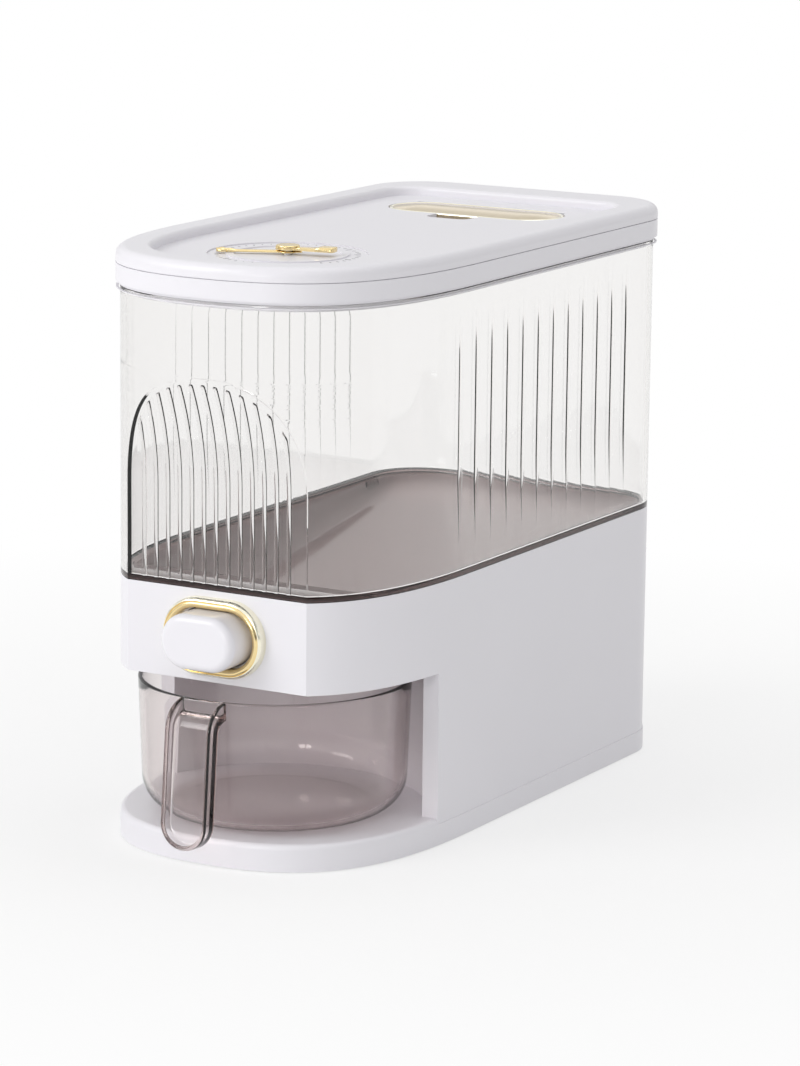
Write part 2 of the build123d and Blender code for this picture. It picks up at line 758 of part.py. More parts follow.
with BuildPart() as short_pointer:
    with BuildSketch(pointer_plane(short_pointer_angle, short_pointer_z)):
        pointer_face(short_pointer_length, short_pointer_width, 3.0)
    extrude(amount=pointer_thickness)
save(short_pointer.part, "short_pointer")

# ---------------------------------------------------------------- fold-up carrying bail in the lid
with BuildPart() as lid_bail:
    with BuildSketch(Plane.XY.offset(lid_floor - bail_thickness)):
        with Locations((0, bail_y)):
            stadium(bail_width, bail_depth)
    extrude(amount=bail_thickness + bail_proud)
    fillet(lid_bail.edges().group_by(Axis.Z)[-1], bail_edge_radius)
    with BuildSketch(side_plane.offset(-bail_width / 2)):
        with Locations((bail_hinge_y, bail_hinge_z)):
            Circle(bail_pin_radius + pin_clearance)
    extrude(amount=bail_width, mode=Mode.SUBTRACT)
save(lid_bail.part, "lid_bail")

with BuildPart() as bail_pins:
    for side in (-1, 1):
        with BuildSketch(side_plane.offset(side * bail_pin_x - bail_pin_length / 2)):
            with Locations((bail_hinge_y, bail_hinge_z)):
                Circle(bail_pin_radius)
        extrude(amount=bail_pin_length)
save(bail_pins.part, "bail_pins")

# ---------------------------------------------------------------- dose button
with BuildPart() as button_bezel:
    with BuildSketch(front_plane(facet_y)):
        stadium(bezel_width, bezel_height)
    extrude(amount=bezel_stand)
    fillet(button_bezel.faces().sort_by(Axis.Y)[0].edges(), bezel_edge_radius)
    with BuildSketch(front_plane(facet_y)):
        stadium(bezel_bore_width, bezel_bore_height)
    extrude(amount=bezel_stand, mode=Mode.SUBTRACT)
save(button_bezel.part, "button_bezel")

with BuildPart() as button_sleeve:
    with BuildSketch(front_plane(facet_inner_y)):
        stadium(sleeve_width - 2 * seat_gap, sleeve_tall - 2 * seat_gap)
    extrude(amount=housing_wall)
    with BuildSketch(front_plane(facet_inner_y + sleeve_flange)):
        stadium(sleeve_width + 4, sleeve_tall + 2)
    extrude(amount=sleeve_flange)
    with BuildSketch(front_plane(facet_inner_y + sleeve_flange)):
        stadium(bezel_bore_width, bezel_bore_height)
    extrude(amount=sleeve_flange + housing_wall, mode=Mode.SUBTRACT)
save(button_sleeve.part, "button_sleeve")

with BuildPart() as button_cap:
    with BuildSketch(front_plane(button_rear_y)):
        stadium(button_width, button_tall)
    extrude(amount=button_depth)
    fillet(button_cap.faces().sort_by(Axis.Y)[0].edges(), button_edge_radius)
    with BuildSketch(front_plane(button_rear_y)):
        stadium(button_width - 2 * button_wall, button_tall - 2 * button_wall)
    extrude(amount=button_depth - button_wall - 3, mode=Mode.SUBTRACT)
save(button_cap.part, "button_cap")

# ---------------------------------------------------------------- dosing gate under the hopper
ceiling_top = band_bottom + ceiling_thickness
gate_top = hopper_floor_height - hopper_floor_thickness - running_gap
gate_z = gate_top - plate_thickness
track_floor = gate_z - running_gap - ceiling_top
gate_front_y = button_rear_y
gate_rear_y = cup_y + outlet_length / 2 + gate_rear_overlap
track_front_y = button_rear_y + button_travel + plate_thickness + gate_room
track_rear_y = gate_rear_y + button_travel + gate_stop
track_width = gate_width + 2 * track_rail + 2 * running_gap
guide_top = hopper_floor_height - hopper_floor_thickness - seat_gap
post_y = tub_front_y - seat_gap - post_thickness
post_width = 2 * spring_radius

with BuildPart() as gate_track:
    with BuildSketch(Plane.XY.offset(ceiling_top)):
        with Locations((0, (track_front_y + track_rear_y) / 2)):
            Rectangle(track_width, track_rear_y - track_front_y)
        with Locations((0, cup_y)):
            Rectangle(chute_width, chute_length, mode=Mode.SUBTRACT)
        with Locations((0, post_y + post_thickness)):
            Rectangle(post_width, lid_depth, align=(Align.CENTER, Align.MAX), mode=Mode.SUBTRACT)
    extrude(amount=track_floor)
    with BuildSketch(Plane.XY.offset(ceiling_top + track_floor)):
        for side in (-1, 1):
            with Locations((side * (track_width - track_rail) / 2, (track_front_y + track_rear_y) / 2)):
                Rectangle(track_rail, track_rear_y - track_front_y)
    extrude(amount=guide_top - ceiling_top - track_floor)
save(gate_track.part, "gate_track")

with BuildPart() as gate_plate:
    with BuildSketch(Plane.XY.offset(gate_z)):
        with Locations((0, (gate_front_y + gate_rear_y) / 2)):
            Rectangle(gate_width, gate_rear_y - gate_front_y)
        with Locations((0, cup_y - button_travel)):
            Rectangle(outlet_width, outlet_length, mode=Mode.SUBTRACT)
        with Locations((0, post_y + post_thickness + 1)):
            notch = post_y + post_thickness + 1 - gate_front_y - 2 * plate_thickness
            Rectangle(post_width + gate_room, notch, align=(Align.CENTER, Align.MAX), mode=Mode.SUBTRACT)
    extrude(amount=plate_thickness)
save(gate_plate.part, "gate_plate")

with BuildPart() as chute:
    with BuildSketch(Plane.XY.offset(band_bottom - chute_drop)):
        with Locations((0, cup_y)):
            Rectangle(chute_width, chute_length)
            Rectangle(chute_width - 2 * chute_wall, chute_length - 2 * chute_wall, mode=Mode.SUBTRACT)
    extrude(amount=chute_drop + ceiling_thickness + track_floor)
save(chute.part, "chute")

# The push plate hangs from the button's back and carries the gate; the spring works between it and a fixed post.
with BuildPart() as push_plate:
    with BuildSketch(front_plane(button_rear_y + plate_thickness)):
        stadium(button_width - 2, button_tall - 2)
        with Locations((0, -(button_z - gate_top) / 2)):
            Rectangle(button_tall, button_z - gate_top)
    extrude(amount=plate_thickness)
save(push_plate.part, "push_plate")

spring_front_y = button_rear_y + plate_thickness
with BuildPart() as spring_post:
    with BuildSketch(front_plane(post_y + post_thickness)):
        Circle(spring_radius + 1.4)
        with Locations((0, -(button_z - ceiling_top) / 2)):
            Rectangle(post_width, button_z - ceiling_top)
    extrude(amount=post_thickness)
    with BuildSketch(front_plane(post_y)):
        Circle(spring_pin_radius)
    extrude(amount=post_y - spring_front_y - button_travel - 1)
save(spring_post.part, "spring_post")

spring_length = post_y - spring_front_y - spring_wire
with BuildPart() as return_spring:
    with BuildLine() as coil:
        Helix(
            pitch=spring_length / spring_turns,
            height=spring_length,
            radius=spring_radius - spring_wire / 2,
            center=(0, spring_front_y + spring_wire / 2, button_z),
            direction=(0, 1, 0),
        )
    with BuildSketch(coil.line ^ 0):
        Circle(spring_wire / 2)
    sweep(is_frenet=True)
save(return_spring.part, "return_spring")

# ---------------------------------------------------------------- measuring cup with its handle
cup_bottom = foot_height + running_gap
cup_foot_radius = cup_rim_radius - cup_draft - cup_corner_radius


def cup_section(inset, floor):
    """Half section of the cup, moved in by inset from its outer wall and up by floor from its underside."""
    radius = cup_corner_radius - inset
    wall_low = cup_rim_radius - cup_draft - inset
    middle = radius * sin(radians(45))
    low = cup_bottom + floor
    with BuildLine() as outline:
        Polyline((0, cup_top), (0, low), (cup_foot_radius, low))
        ThreePointArc((cup_foot_radius, low), (cup_foot_radius + middle, low + radius - middle), (wall_low, low + radius))
        Polyline((wall_low, low + radius), (cup_rim_radius - inset, cup_top), (0, cup_top))
    make_face(outline.edges())


rim_front_y = cup_y - cup_rim_radius
strap_front_y = rim_front_y - handle_lip_reach - handle_thickness
handle_root_z = cup_top - handle_root_depth
grip_plane = side_plane.offset(-handle_width / 2)


def handle_side(shift, lift):
    """Side view of the handle: out from the rim, over a bend and down, moved out by shift and up by lift."""
    outer = strap_front_y - shift
    inner = strap_front_y + handle_thickness - shift
    root = cup_y - cup_rim_radius + cup_wall
    with BuildLine() as outline:
        FilletPolyline(
            (root, cup_top),
            (outer, cup_top),
            (outer - handle_slant, handle_bottom),
            radius=handle_outer_bend,
        )
        Line((outer - handle_slant, handle_bottom), (inner - handle_slant, handle_bottom))
        FilletPolyline(
            (inner - handle_slant, handle_bottom),
            (inner, handle_root_z + lift),
            (root, handle_root_z + lift),
            radius=handle_inner_bend,
        )
        Line((root, handle_root_z + lift), (root, cup_top))
    make_face(outline.edges())


def grip_front(inset):
    """Front view of the handle: straight sides and a round lower end."""
    radius = handle_width / 2 - inset
    centre_z = handle_bottom + handle_width / 2
    with BuildLine() as outline:
        Polyline((-radius, centre_z), (-radius, cup_top + 1), (radius, cup_top + 1), (radius, centre_z))
        ThreePointArc((radius, centre_z), (0, centre_z - radius), (-radius, centre_z))
    make_face(outline.edges())


with BuildPart() as grip_channel:
    with BuildSketch(grip_plane):
        handle_side(handle_wall, handle_wall)
    extrude(amount=handle_width)
    with BuildSketch(upright_plane(lid_front_y + lid_depth / 2)):
        grip_front(handle_wall)
    extrude(amount=2 * lid_depth, mode=Mode.INTERSECT)

with BuildPart() as grip:
    with BuildSketch(grip_plane):
        handle_side(0, 0)
    extrude(amount=handle_width)
    with BuildSketch(upright_plane(lid_front_y + lid_depth / 2)):
        grip_front(0)
    extrude(amount=2 * lid_depth, mode=Mode.INTERSECT)
    add(grip_channel.part, mode=Mode.SUBTRACT)

with BuildPart() as measuring_cup:
    with BuildSketch(upright_plane(cup_y)):
        cup_section(0, 0)
    revolve(axis=Axis((0, cup_y, 0), (0, 0, 1)))
    add(grip.part)
    with BuildSketch(upright_plane(cup_y)):
        cup_section(cup_wall, cup_floor)
    revolve(axis=Axis((0, cup_y, 0), (0, 0, 1)), mode=Mode.SUBTRACT)
save(measuring_cup.part, "measuring_cup")
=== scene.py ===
"""Clear counter-top rice dispenser: its finishes, its see-through pieces and the stage it stands on."""
import math

import bmesh
import bpy
import numpy as np
from bpy.props import FloatProperty, FloatVectorProperty, IntProperty, PointerProperty
from bpy.types import Operator, Panel, PropertyGroup
from mathutils import Matrix, Vector


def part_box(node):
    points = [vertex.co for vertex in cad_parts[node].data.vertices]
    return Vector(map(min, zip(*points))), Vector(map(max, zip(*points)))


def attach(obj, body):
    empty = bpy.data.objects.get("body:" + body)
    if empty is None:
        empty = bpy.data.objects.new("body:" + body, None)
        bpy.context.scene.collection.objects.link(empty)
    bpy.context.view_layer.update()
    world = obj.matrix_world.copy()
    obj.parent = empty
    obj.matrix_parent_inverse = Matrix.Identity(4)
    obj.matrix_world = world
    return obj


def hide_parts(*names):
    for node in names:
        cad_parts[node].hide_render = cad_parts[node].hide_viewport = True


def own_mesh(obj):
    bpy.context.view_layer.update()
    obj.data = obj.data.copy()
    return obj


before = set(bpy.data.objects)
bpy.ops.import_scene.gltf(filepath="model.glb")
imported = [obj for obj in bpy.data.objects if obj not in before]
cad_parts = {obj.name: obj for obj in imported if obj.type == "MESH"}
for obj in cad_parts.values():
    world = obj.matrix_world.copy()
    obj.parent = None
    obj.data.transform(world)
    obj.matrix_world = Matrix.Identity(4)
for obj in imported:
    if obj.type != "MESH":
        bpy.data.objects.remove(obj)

bl_info = {
    "name": "Rice dispenser",
    "version": (1, 0, 0),
    "blender": (4, 5, 0),
    "location": "View3D > Sidebar > Dispenser",
    "description": "Makes the see-through tank, cup and hopper, the trim and the finishes of a rice dispenser",
    "category": "Object",
}

MM = 0.001
WELD_DISTANCE = 2e-6  # metres
BOW_COLUMNS = 34  # columns of the tank's wall on its bowed front, before those of its side
CURVE_SAMPLES = 6001  # points of the bowed front among which a place on it is looked up
PHOTO_WIDTH, PHOTO_HEIGHT = 800, 1066  # pixels
PHOTO_FOCAL = 4279.2  # focal length of the photograph's camera, in pixels
PHOTO_CENTRE = (418.63, 549.41)  # where that camera's axis meets the photograph, in pixels
SENSOR = 36.0  # millimetres
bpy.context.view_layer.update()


def corner_mm(node, which):
    """Lowest (0) or highest (1) corner of a CAD node, in millimetres."""
    return np.array(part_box(node)[which]) / MM


lid_low, lid_high = corner_mm("lid_cover", 0), corner_mm("lid_cover", 1)
tank_low, tank_high = corner_mm("tank", 0), corner_mm("tank", 1)
cup_low, cup_high = corner_mm("measuring_cup", 0), corner_mm("measuring_cup", 1)
dial_low, dial_high = corner_mm("dial_plate", 0), corner_mm("dial_plate", 1)
bail_low, bail_high = corner_mm("lid_bail", 0), corner_mm("lid_bail", 1)
bezel_low, bezel_high = corner_mm("button_bezel", 0), corner_mm("button_bezel", 1)


def length(name, value, text):
    """A size in millimetres with its name and what it means."""
    return FloatProperty(name=name, default=value, description=text + ", in millimetres")


def number(name, value, text):
    """A plain number with its name and what it means."""
    return FloatProperty(name=name, default=value, description=text)


def tint(name, value, text):
    """A colour with its name and what it is for."""
    return FloatVectorProperty(name=name, default=value, description=text, subtype="COLOR", size=3, min=0, max=1)


class PlanSizes(PropertyGroup):
    """Plan outline that the lid, tank and hopper share."""

    half_width: length("Half width", float(lid_high[0]), "Half the lid's width")
    front: length("Front", float(lid_low[1]), "Y of the lid's front")
    rear: length("Rear", float(lid_high[1]), "Y of the lid's rear")
    front_curve: length("Front curve", 115.0, "Length of the bowed front, from the lid's front")
    fullness: number("Fullness", 0.71, "How square the bowed front is")
    corner: length("Rear corner", 34.0, "Radius of the rear corners")
    facet: length("Facet", float(corner_mm("housing_shell", 0)[1]), "Y of the flat front panel")


class TankSizes(PropertyGroup):
    """Walls, scoop, ribs and flutes of the tank."""

    inset: length("Inset", 2.0, "Tank wall inside the lid's outline")
    wall: length("Wall", 2.6, "Thickness of the tank's wall")
    bottom: length("Bottom", float(tank_low[2]), "Height of the tank's lower edge")
    shoulder: length("Shoulder", float(tank_high[2]) - 4.5, "Height where the wall steps in to the collar")
    top: length("Top", float(tank_high[2]), "Height of the collar's edge")
    scoop_start: length("Scoop start", 45.0, "Height above the lower edge where the scoop starts to lean out")
    scoop_radius: length("Scoop radius", 115.0, "Radius of the scoop's lean")
    rib_count: IntProperty(name="Ribs", default=13, description="Number of ribs on the scoop")
    rib_pitch: length("Rib pitch", 6.62, "Distance between ribs")
    rib_half_width: length("Rib half width", 1.15, "Half the width of a rib")
    rib_height: length("Rib height", 1.0, "How far a rib stands out")
    rib_end_gap: length("Rib end gap", 3.0, "Bare edge between a rib's end and the scoop's arch")
    flute_count: IntProperty(name="Flutes", default=11, description="Number of flutes on each side")
    flute_pitch: length("Flute pitch", 15.6, "Distance between flutes")
    flute_setback: length("Flute setback", 104.0, "First flute, behind the lid's front")
    flute_depth: length("Flute depth", 0.12, "Depth of a flute")
    crest_half_width: length("Crest half width", 2.2, "Half the width of the crest between two flutes")
    crest_height: length("Crest height", 0.4, "How far a crest stands out")
    left_crest: number("Left crest", 0.3, "Height of the left crests over the right")
    crest_low: length("Crest start", 139.0, "Height of a crest's pointed lower end")
    crest_full: length("Crest full", 178.0, "Height from which a crest has its full width")
    flute_fade_low: length("Flutes full", 232.0, "Height up to which the flutes keep their depth")
    flute_fade_high: length("Flutes gone", 260.0, "Height where the flutes have run out")


class HopperSizes(PropertyGroup):
    """Smoke-tinted hopper under the tank."""

    flange: length("Flange", 3.0, "Thickness of the flange between tank and housing")
    tub_inset: length("Tub inset", 7.0, "Tub wall inside the lid's outline")
    tub_wall: length("Tub wall", 0.5, "Thickness of the tub's wall")
    tub_setback: length("Tub setback", 46.5, "Tub's front, behind the lid's front")
    floor: length("Floor", 97.0, "Height of the floor at the outlet")
    rear_drop: length("Rear drop", 5.0, "Height of the floor's rear end below the flange")
    floor_thickness: length("Floor thickness", 1.1, "Thickness of the sloping floor")
    throat: length("Throat", 24.0, "Radius of the flat round the outlet")
    outlet_width: length("Outlet width", 40.0, "Width of the outlet")
    outlet_length: length("Outlet length", 11.0, "Length of the outlet")
    cove_thickness: length("Cove thickness", 0.4, "Thickness of the wall and of the curve's upper end")
    cove: length("Cove", 34.0, "Width of the curve between floor and wall")
    ledge_drop: length("Ledge drop", 2.2, "How far the flange's top falls towards the tub")
    tab_y: length("Tab", 132.25, "Y of the rear snap tabs")
    tab_width: length("Tab width", 12.0, "Width of a snap tab")
    tab_reach: length("Tab reach", 19.0, "Height of a snap tab")


class CupSizes(PropertyGroup):
    """Measuring cup with its channel handle."""

    centre: length("Centre", float(lid_low[1]) + 69.0, "Y of the cup's middle")
    rim_radius: length("Rim radius", float(cup_high[0]), "Radius of the rim")
    top: length("Top", float(cup_high[2]), "Height of the rim")
    bottom: length("Bottom", 13.9, "Height of the underside")
    wall: length("Wall", 2.2, "Thickness of the wall")
    floor: length("Floor", 2.6, "Thickness of the floor")
    corner: length("Corner", 17.0, "Radius of the bottom corner")
    draft: length("Draft", 1.8, "How far the wall leans in")
    handle_width: length("Handle width", 25.0, "Width of the handle")
    handle_wall: length("Handle wall", 2.2, "Thickness of the handle's walls")
    handle_root: length("Handle root", 8.8, "Height of the handle at the rim")
    handle_depth: length("Handle depth", 7.8, "Depth of the handle's strap")
    handle_front: length("Handle front", float(lid_low[1]) - 9.5, "Y of the strap's front at the top")
    handle_slant: length("Handle slant", 5.0, "How far the strap's lower end stands out")
    handle_bottom: length("Handle bottom", float(cup_low[2]), "Height of the handle's lower end")
    handle_bend: length("Handle bend", 6.0, "Inner radius of the handle's bend")


class Finishes(PropertyGroup):
    """Colours of the dispenser's materials."""

    white: tint("White", (0.83, 0.817, 0.855), "Moulded white plastic")
    gold: tint("Gold", (0.90, 0.72, 0.38), "Plated gold trim")
    champagne: tint("Champagne", (0.74, 0.62, 0.42), "Satin champagne gold of the bail")
    cream_gold: tint("Cream gold", (0.93, 0.90, 0.74), "Pale bead of the bail and outer slope of the bezel")
    # Painted shade: a near-black colour for the sheet under the hopper flange's outer edge. It stands in for the
    # shadow in the seam between tank and housing; no gasket is there.
    shade: tint("Shade", (0.02, 0.02, 0.025), "Dark gasket line under the hopper's flange")
    mark: tint("Marks", (0.09, 0.09, 0.10), "Marks on the dial")
    backing: tint("Backing", (0.88, 0.80, 0.79), "Matt underside of the hopper")
    steel: tint("Steel", (0.62, 0.63, 0.65), "Screws, pins and spring")
    rubber: tint("Rubber", (0.30, 0.30, 0.32), "Anti-slip pads")
    silicone: tint("Silicone", (0.80, 0.80, 0.80), "Lid seal")
    clear_density: number("Clear density", 24.0, "Light taken by a metre of the clear wall")
    smoke_density: number("Smoke density", 270.0, "Light taken by a metre of the hopper")
    cup_density: number("Cup density", 56.0, "Light taken by a metre of the cup's wall")


# ------------------------------------------------------------------ materials
class Wire:
    """An output of a node. Arithmetic on it adds Math nodes, also with the wire on the right."""

    def __init__(self, finish, socket):
        self.finish = finish
        self.socket = socket

    def __add__(self, other):
        return self.finish.maths("ADD", self, other)

    def __sub__(self, other):
        return self.finish.maths("SUBTRACT", self, other)

    def __mul__(self, other):
        return self.finish.maths("MULTIPLY", self, other)

    def __radd__(self, other):
        return self.finish.maths("ADD", other, self)

    def __rsub__(self, other):
        return self.finish.maths("SUBTRACT", other, self)

    def __rmul__(self, other):
        return self.finish.maths("MULTIPLY", other, self)


class Finish:
    """A material or world under construction. node() adds any node: its settings first, then its sockets."""

    def __init__(self, tree):
        self.tree = tree
        self.tree.nodes.clear()

    def node(self, kind, settings=None, sockets=None, output=0):
        made = self.tree.nodes.new(kind)
        for key, value in (settings or {}).items():
            setattr(made, key, value)
        for key, value in (sockets or {}).items():
            if isinstance(value, Wire):
                self.tree.links.new(value.socket, made.inputs[key])
            else:
                made.inputs[key].default_value = value
        return Wire(self, made.outputs[output]) if len(made.outputs) else made

    def ramp(self, source, stops):
        """Colour ramp with its stops, each a place and a grey or a colour."""
        made = self.tree.nodes.new("ShaderNodeValToRGB")
        while len(made.color_ramp.elements) < len(stops):
            made.color_ramp.elements.new(0.5)
        for element, (place, colour) in zip(made.color_ramp.elements, stops):
            element.position = place
            element.color = (*((colour,) * 3 if isinstance(colour, (int, float)) else colour), 1)
        self.tree.links.new(source.socket, made.inputs[0])
        return Wire(self, made.outputs[0])

    def maths(self, operation, first, second):
        return self.node("ShaderNodeMath", {"operation": operation}, {0: first, 1: second})

    def place(self, scale=(1, 1, 1)):
        """Object coordinates in metres, scaled."""
        where = self.node("ShaderNodeTexCoord", output=3)
        return self.node("ShaderNodeMapping", {"vector_type": "POINT"}, {"Vector": where, "Scale": scale})

    def noise(self, where, scale, detail=2.0, roughness=0.5):
        return self.node("ShaderNodeTexNoise", sockets={
            "Vector": where, "Scale": scale, "Detail": detail, "Roughness": roughness})

    def bump(self, height, strength, distance):
        return self.node("ShaderNodeBump", sockets={
            "Height": height, "Strength": strength, "Distance": distance})

    def blend(self, share, first, second):
        """Colour between first and second."""
        return self.node("ShaderNodeMix", {"data_type": "RGBA"}, {0: share, 6: first, 7: second}, output=2)

    def close(self, surface, volume=None):
        sockets = {"Surface": surface}
        if volume is not None:
            sockets["Volume"] = volume
        self.node("ShaderNodeOutputMaterial", sockets=sockets)


def new_finish(name):
    """A fresh material of this name and its Finish."""
    material = bpy.data.materials.new(name)
    material.use_nodes = True
    return material, Finish(material.node_tree)


def rgba(colour, gain=1.0):
    return (*[min(1.0, channel * gain) for channel in colour], 1.0)


def moulded_plastic(name, colour, roughness, grain=0.06, coat=0.0):
    """Moulded plastic: broad, faint unevenness of tone and gloss, and a fine spark-eroded grain in the bump."""
    material, finish = new_finish(name)
    where = finish.place()
    broad = finish.noise(where, 14.0, 3.0)
    fine = finish.noise(where, 900.0, 2.0, 0.6)
    drift = finish.noise(where, 60.0, 2.0)
    base = finish.blend(broad, rgba(colour, 0.985), rgba(colour, 1.015))
    gloss = roughness - 0.03 + broad * 0.03 + fine * 0.03
    normal = finish.bump(fine + drift * 0.6, grain, 0.0002)
    surface = finish.node("ShaderNodeBsdfPrincipled", sockets={
        "Base Color": base, "Roughness": gloss, "IOR": 1.5, "Normal": normal,
        "Coat Weight": coat, "Coat Roughness": 0.12})
    finish.close(surface)
    return material


def see_through(name, density, hue, roughness=0.015, ior=1.46, ripple=0.02):
    """Clear moulding: refracts, and takes light by the length of its path inside. Lamps shine through it."""
    material, finish = new_finish(name)
    where = finish.place()
    flow = finish.noise(where, 22.0, 2.0)
    normal = finish.bump(flow, ripple, 0.001)
    haze = roughness + finish.noise(where, 90.0, 2.0) * 0.01
    glass = finish.node("ShaderNodeBsdfPrincipled", sockets={
        "Base Color": (1, 1, 1, 1), "Roughness": haze, "IOR": ior, "Transmission Weight": 1.0, "Normal": normal})
    clear = finish.node("ShaderNodeBsdfTransparent", sockets={"Color": (0.93, 0.93, 0.93, 1)})
    shadow = finish.node("ShaderNodeLightPath", output="Is Shadow Ray")
    surface = finish.node("ShaderNodeMixShader", sockets={0: shadow, 1: glass, 2: clear})
    inside = finish.node("ShaderNodeVolumeAbsorption", sockets={"Color": (*hue, 1), "Density": density})
    finish.close(surface, inside)
    return material


def plated_metal(name, colour, roughness, brushed=0.0):
    """Plated trim: fine uneven polish, with lines along it where it is brushed."""
    material, finish = new_finish(name)
    where = finish.place()
    mottled = finish.noise(where, 220.0, 3.0)
    lines = finish.noise(finish.place((20.0, 2400.0, 2400.0)), 1.0, 2.0)
    base = finish.blend(mottled, rgba(colour, 0.96), rgba(colour, 1.04))
    gloss = roughness - 0.04 + mottled * 0.05 + lines * (0.04 + 0.1 * brushed)
    normal = finish.bump(mottled * 0.4 + lines * brushed, 0.05 + 0.1 * brushed, 0.0001)
    surface = finish.node("ShaderNodeBsdfPrincipled", sockets={
        "Base Color": base, "Metallic": 1.0, "Roughness": gloss, "Normal": normal})
    finish.close(surface)
    return material


def finish_named(name):
    """The dispenser's material of this name, made the first time that it is asked for."""
    known = bpy.data.materials.get("dispenser_" + name)
    if known:
        return known
    colours = bpy.context.scene.dispenser_finishes
    makers = {
        "white": lambda n: moulded_plastic(n, colours.white, 0.34),
        "white_gloss": lambda n: moulded_plastic(n, colours.white, 0.24, 0.03),
        "clear": lambda n: see_through(n, colours.clear_density, (0.22, 0.14, 0.06)),
        "smoke": lambda n: see_through(n, colours.smoke_density, (0.24, 0.06, 0.05), 0.085),
        "smoke_cup": lambda n: see_through(n, colours.cup_density, (0.33, 0.07, 0.03)),
        "backing": lambda n: moulded_plastic(n, colours.backing, 0.6),
        # Painted shade: a near-black finish for the underside of the hopper flange's outer edge.
        "shade": lambda n: moulded_plastic(n, colours.shade, 0.7),
        "cream_gold": lambda n: plated_metal(n, colours.cream_gold, 0.18),
        "mark": lambda n: moulded_plastic(n, colours.mark, 0.5),
        "gold": lambda n: plated_metal(n, colours.gold, 0.16),
        "champagne": lambda n: plated_metal(n, colours.champagne, 0.15, 0.12),
        "steel": lambda n: plated_metal(n, colours.steel, 0.32, 0.4),
        "rubber": lambda n: moulded_plastic(n, colours.rubber, 0.75, 0.3),
        "silicone": lambda n: moulded_plastic(n, colours.silicone, 0.5, 0.1),
    }
    return makers[name]("dispenser_" + name)


def dress(node, finish_name):
    """Give a CAD node this finish in every slot."""
    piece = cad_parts[node]
    for slot in piece.material_slots:
        slot.material = finish_named(finish_name)


# ------------------------------------------------------------------ surfaces
def quads(rows, columns, wrap_rows=False, wrap_columns=False, flip=False):
    """Four-sided faces between neighbouring points of a grid that is numbered row by row."""
    row, column = np.meshgrid(
        np.arange(rows if wrap_rows else rows - 1),
        np.arange(columns if wrap_columns else columns - 1),
        indexing="ij",
    )
    next_row, next_column = (row + 1) % rows, (column + 1) % columns
    ring = [row * columns + column, row * columns + next_column,
            next_row * columns + next_column, next_row * columns + column]
    faces = np.stack(ring, -1).reshape(-1, 4)
    return faces[:, ::-1] if flip else faces


def build_mesh(name, sheets, finish_names, body, replaces=(), sharp=35.0):
    """One object from sheets of points (rows, columns, xyz in mm), welded where they meet.

    A sheet's paint is the place of its finish in finish_names, which are parted by spaces.
    """
    points = np.concatenate([np.asarray(sheet["points"]).reshape(-1, 3) for sheet in sheets]) * MM
    faces = []
    paints = []
    start = 0
    for sheet in sheets:
        rows, columns = sheet["points"].shape[:2]
        faces.append(start + quads(rows, columns, sheet.get("wrap_rows", False),
                                   sheet.get("wrap_columns", False), sheet.get("flip", False)))
        paints.append(np.full(len(faces[-1]), sheet.get("paint", 0), np.int32))
        start += rows * columns
    faces = np.concatenate(faces)
    mesh = bpy.data.meshes.new(name)
    mesh.vertices.add(len(points))
    mesh.vertices.foreach_set("co", points.ravel())
    mesh.loops.add(faces.size)
    mesh.loops.foreach_set("vertex_index", faces.ravel())
    mesh.polygons.add(len(faces))
    mesh.polygons.foreach_set("loop_start", np.arange(0, faces.size, 4))
    for each in finish_names.split():
        mesh.materials.append(finish_named(each))
    mesh.polygons.foreach_set("material_index", np.concatenate(paints))
    mesh.update(calc_edges=True)
    shape = bmesh.new()
    shape.from_mesh(mesh)
    bmesh.ops.remove_doubles(shape, verts=shape.verts, dist=WELD_DISTANCE)
    bmesh.ops.dissolve_degenerate(shape, edges=shape.edges, dist=1e-7)
    bmesh.ops.recalc_face_normals(shape, faces=shape.faces)
    shape.to_mesh(mesh)
    shape.free()
    mesh.polygons.foreach_set("use_smooth", np.ones(len(mesh.polygons), bool))
    mesh.set_sharp_from_angle(angle=math.radians(sharp))
    mesh.update()
    piece = bpy.data.objects.new(name, mesh)
    bpy.context.scene.collection.objects.link(piece)
    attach(piece, body)
    if replaces:
        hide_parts(*replaces)
    return piece


def mirrored(sheet):
    """The same sheet on the other side of X = 0, still facing outwards."""
    points = np.array(sheet["points"]) * (-1, 1, 1)
    return {**sheet, "points": points, "flip": not sheet.get("flip", False)}


def bowed_front(t, inset):
    """The bowed front's right half at t, from its middle (0) to where the side runs straight (1).

    A cubic Bezier curve: with h the half width, f the front, s the shoulder and k the fullness, its points are
    (0, f), (k h, f), (h, s - k (s - f)) and (h, s).
    """
    sizes = bpy.context.scene.dispenser_plan
    half = sizes.half_width - inset
    front = sizes.front + inset
    shoulder = sizes.front + sizes.front_curve
    bow = sizes.fullness * (shoulder - front)
    u = 1 - t
    x = 3 * sizes.fullness * half * t * u**2 + 3 * half * t**2 * u + half * t**3
    y = front * u**3 + 3 * front * t * u**2 + 3 * (shoulder - bow) * t**2 * u + shoulder * t**3
    return x, y


def curve_place(inset, x=None, y=None):
    """The t where the bowed front reaches this x or this y."""
    t = np.linspace(0, 1, CURVE_SAMPLES)
    at_x, at_y = bowed_front(t, inset)
    return np.interp(x, at_x, t) if x is not None else np.interp(y, at_y, t)


def bow_x_at(y, inset):
    """X of the bowed front at this Y."""
    at_x, at_y = bowed_front(np.linspace(0, 1, CURVE_SAMPLES), inset)
    return float(np.interp(y, at_y, at_x))


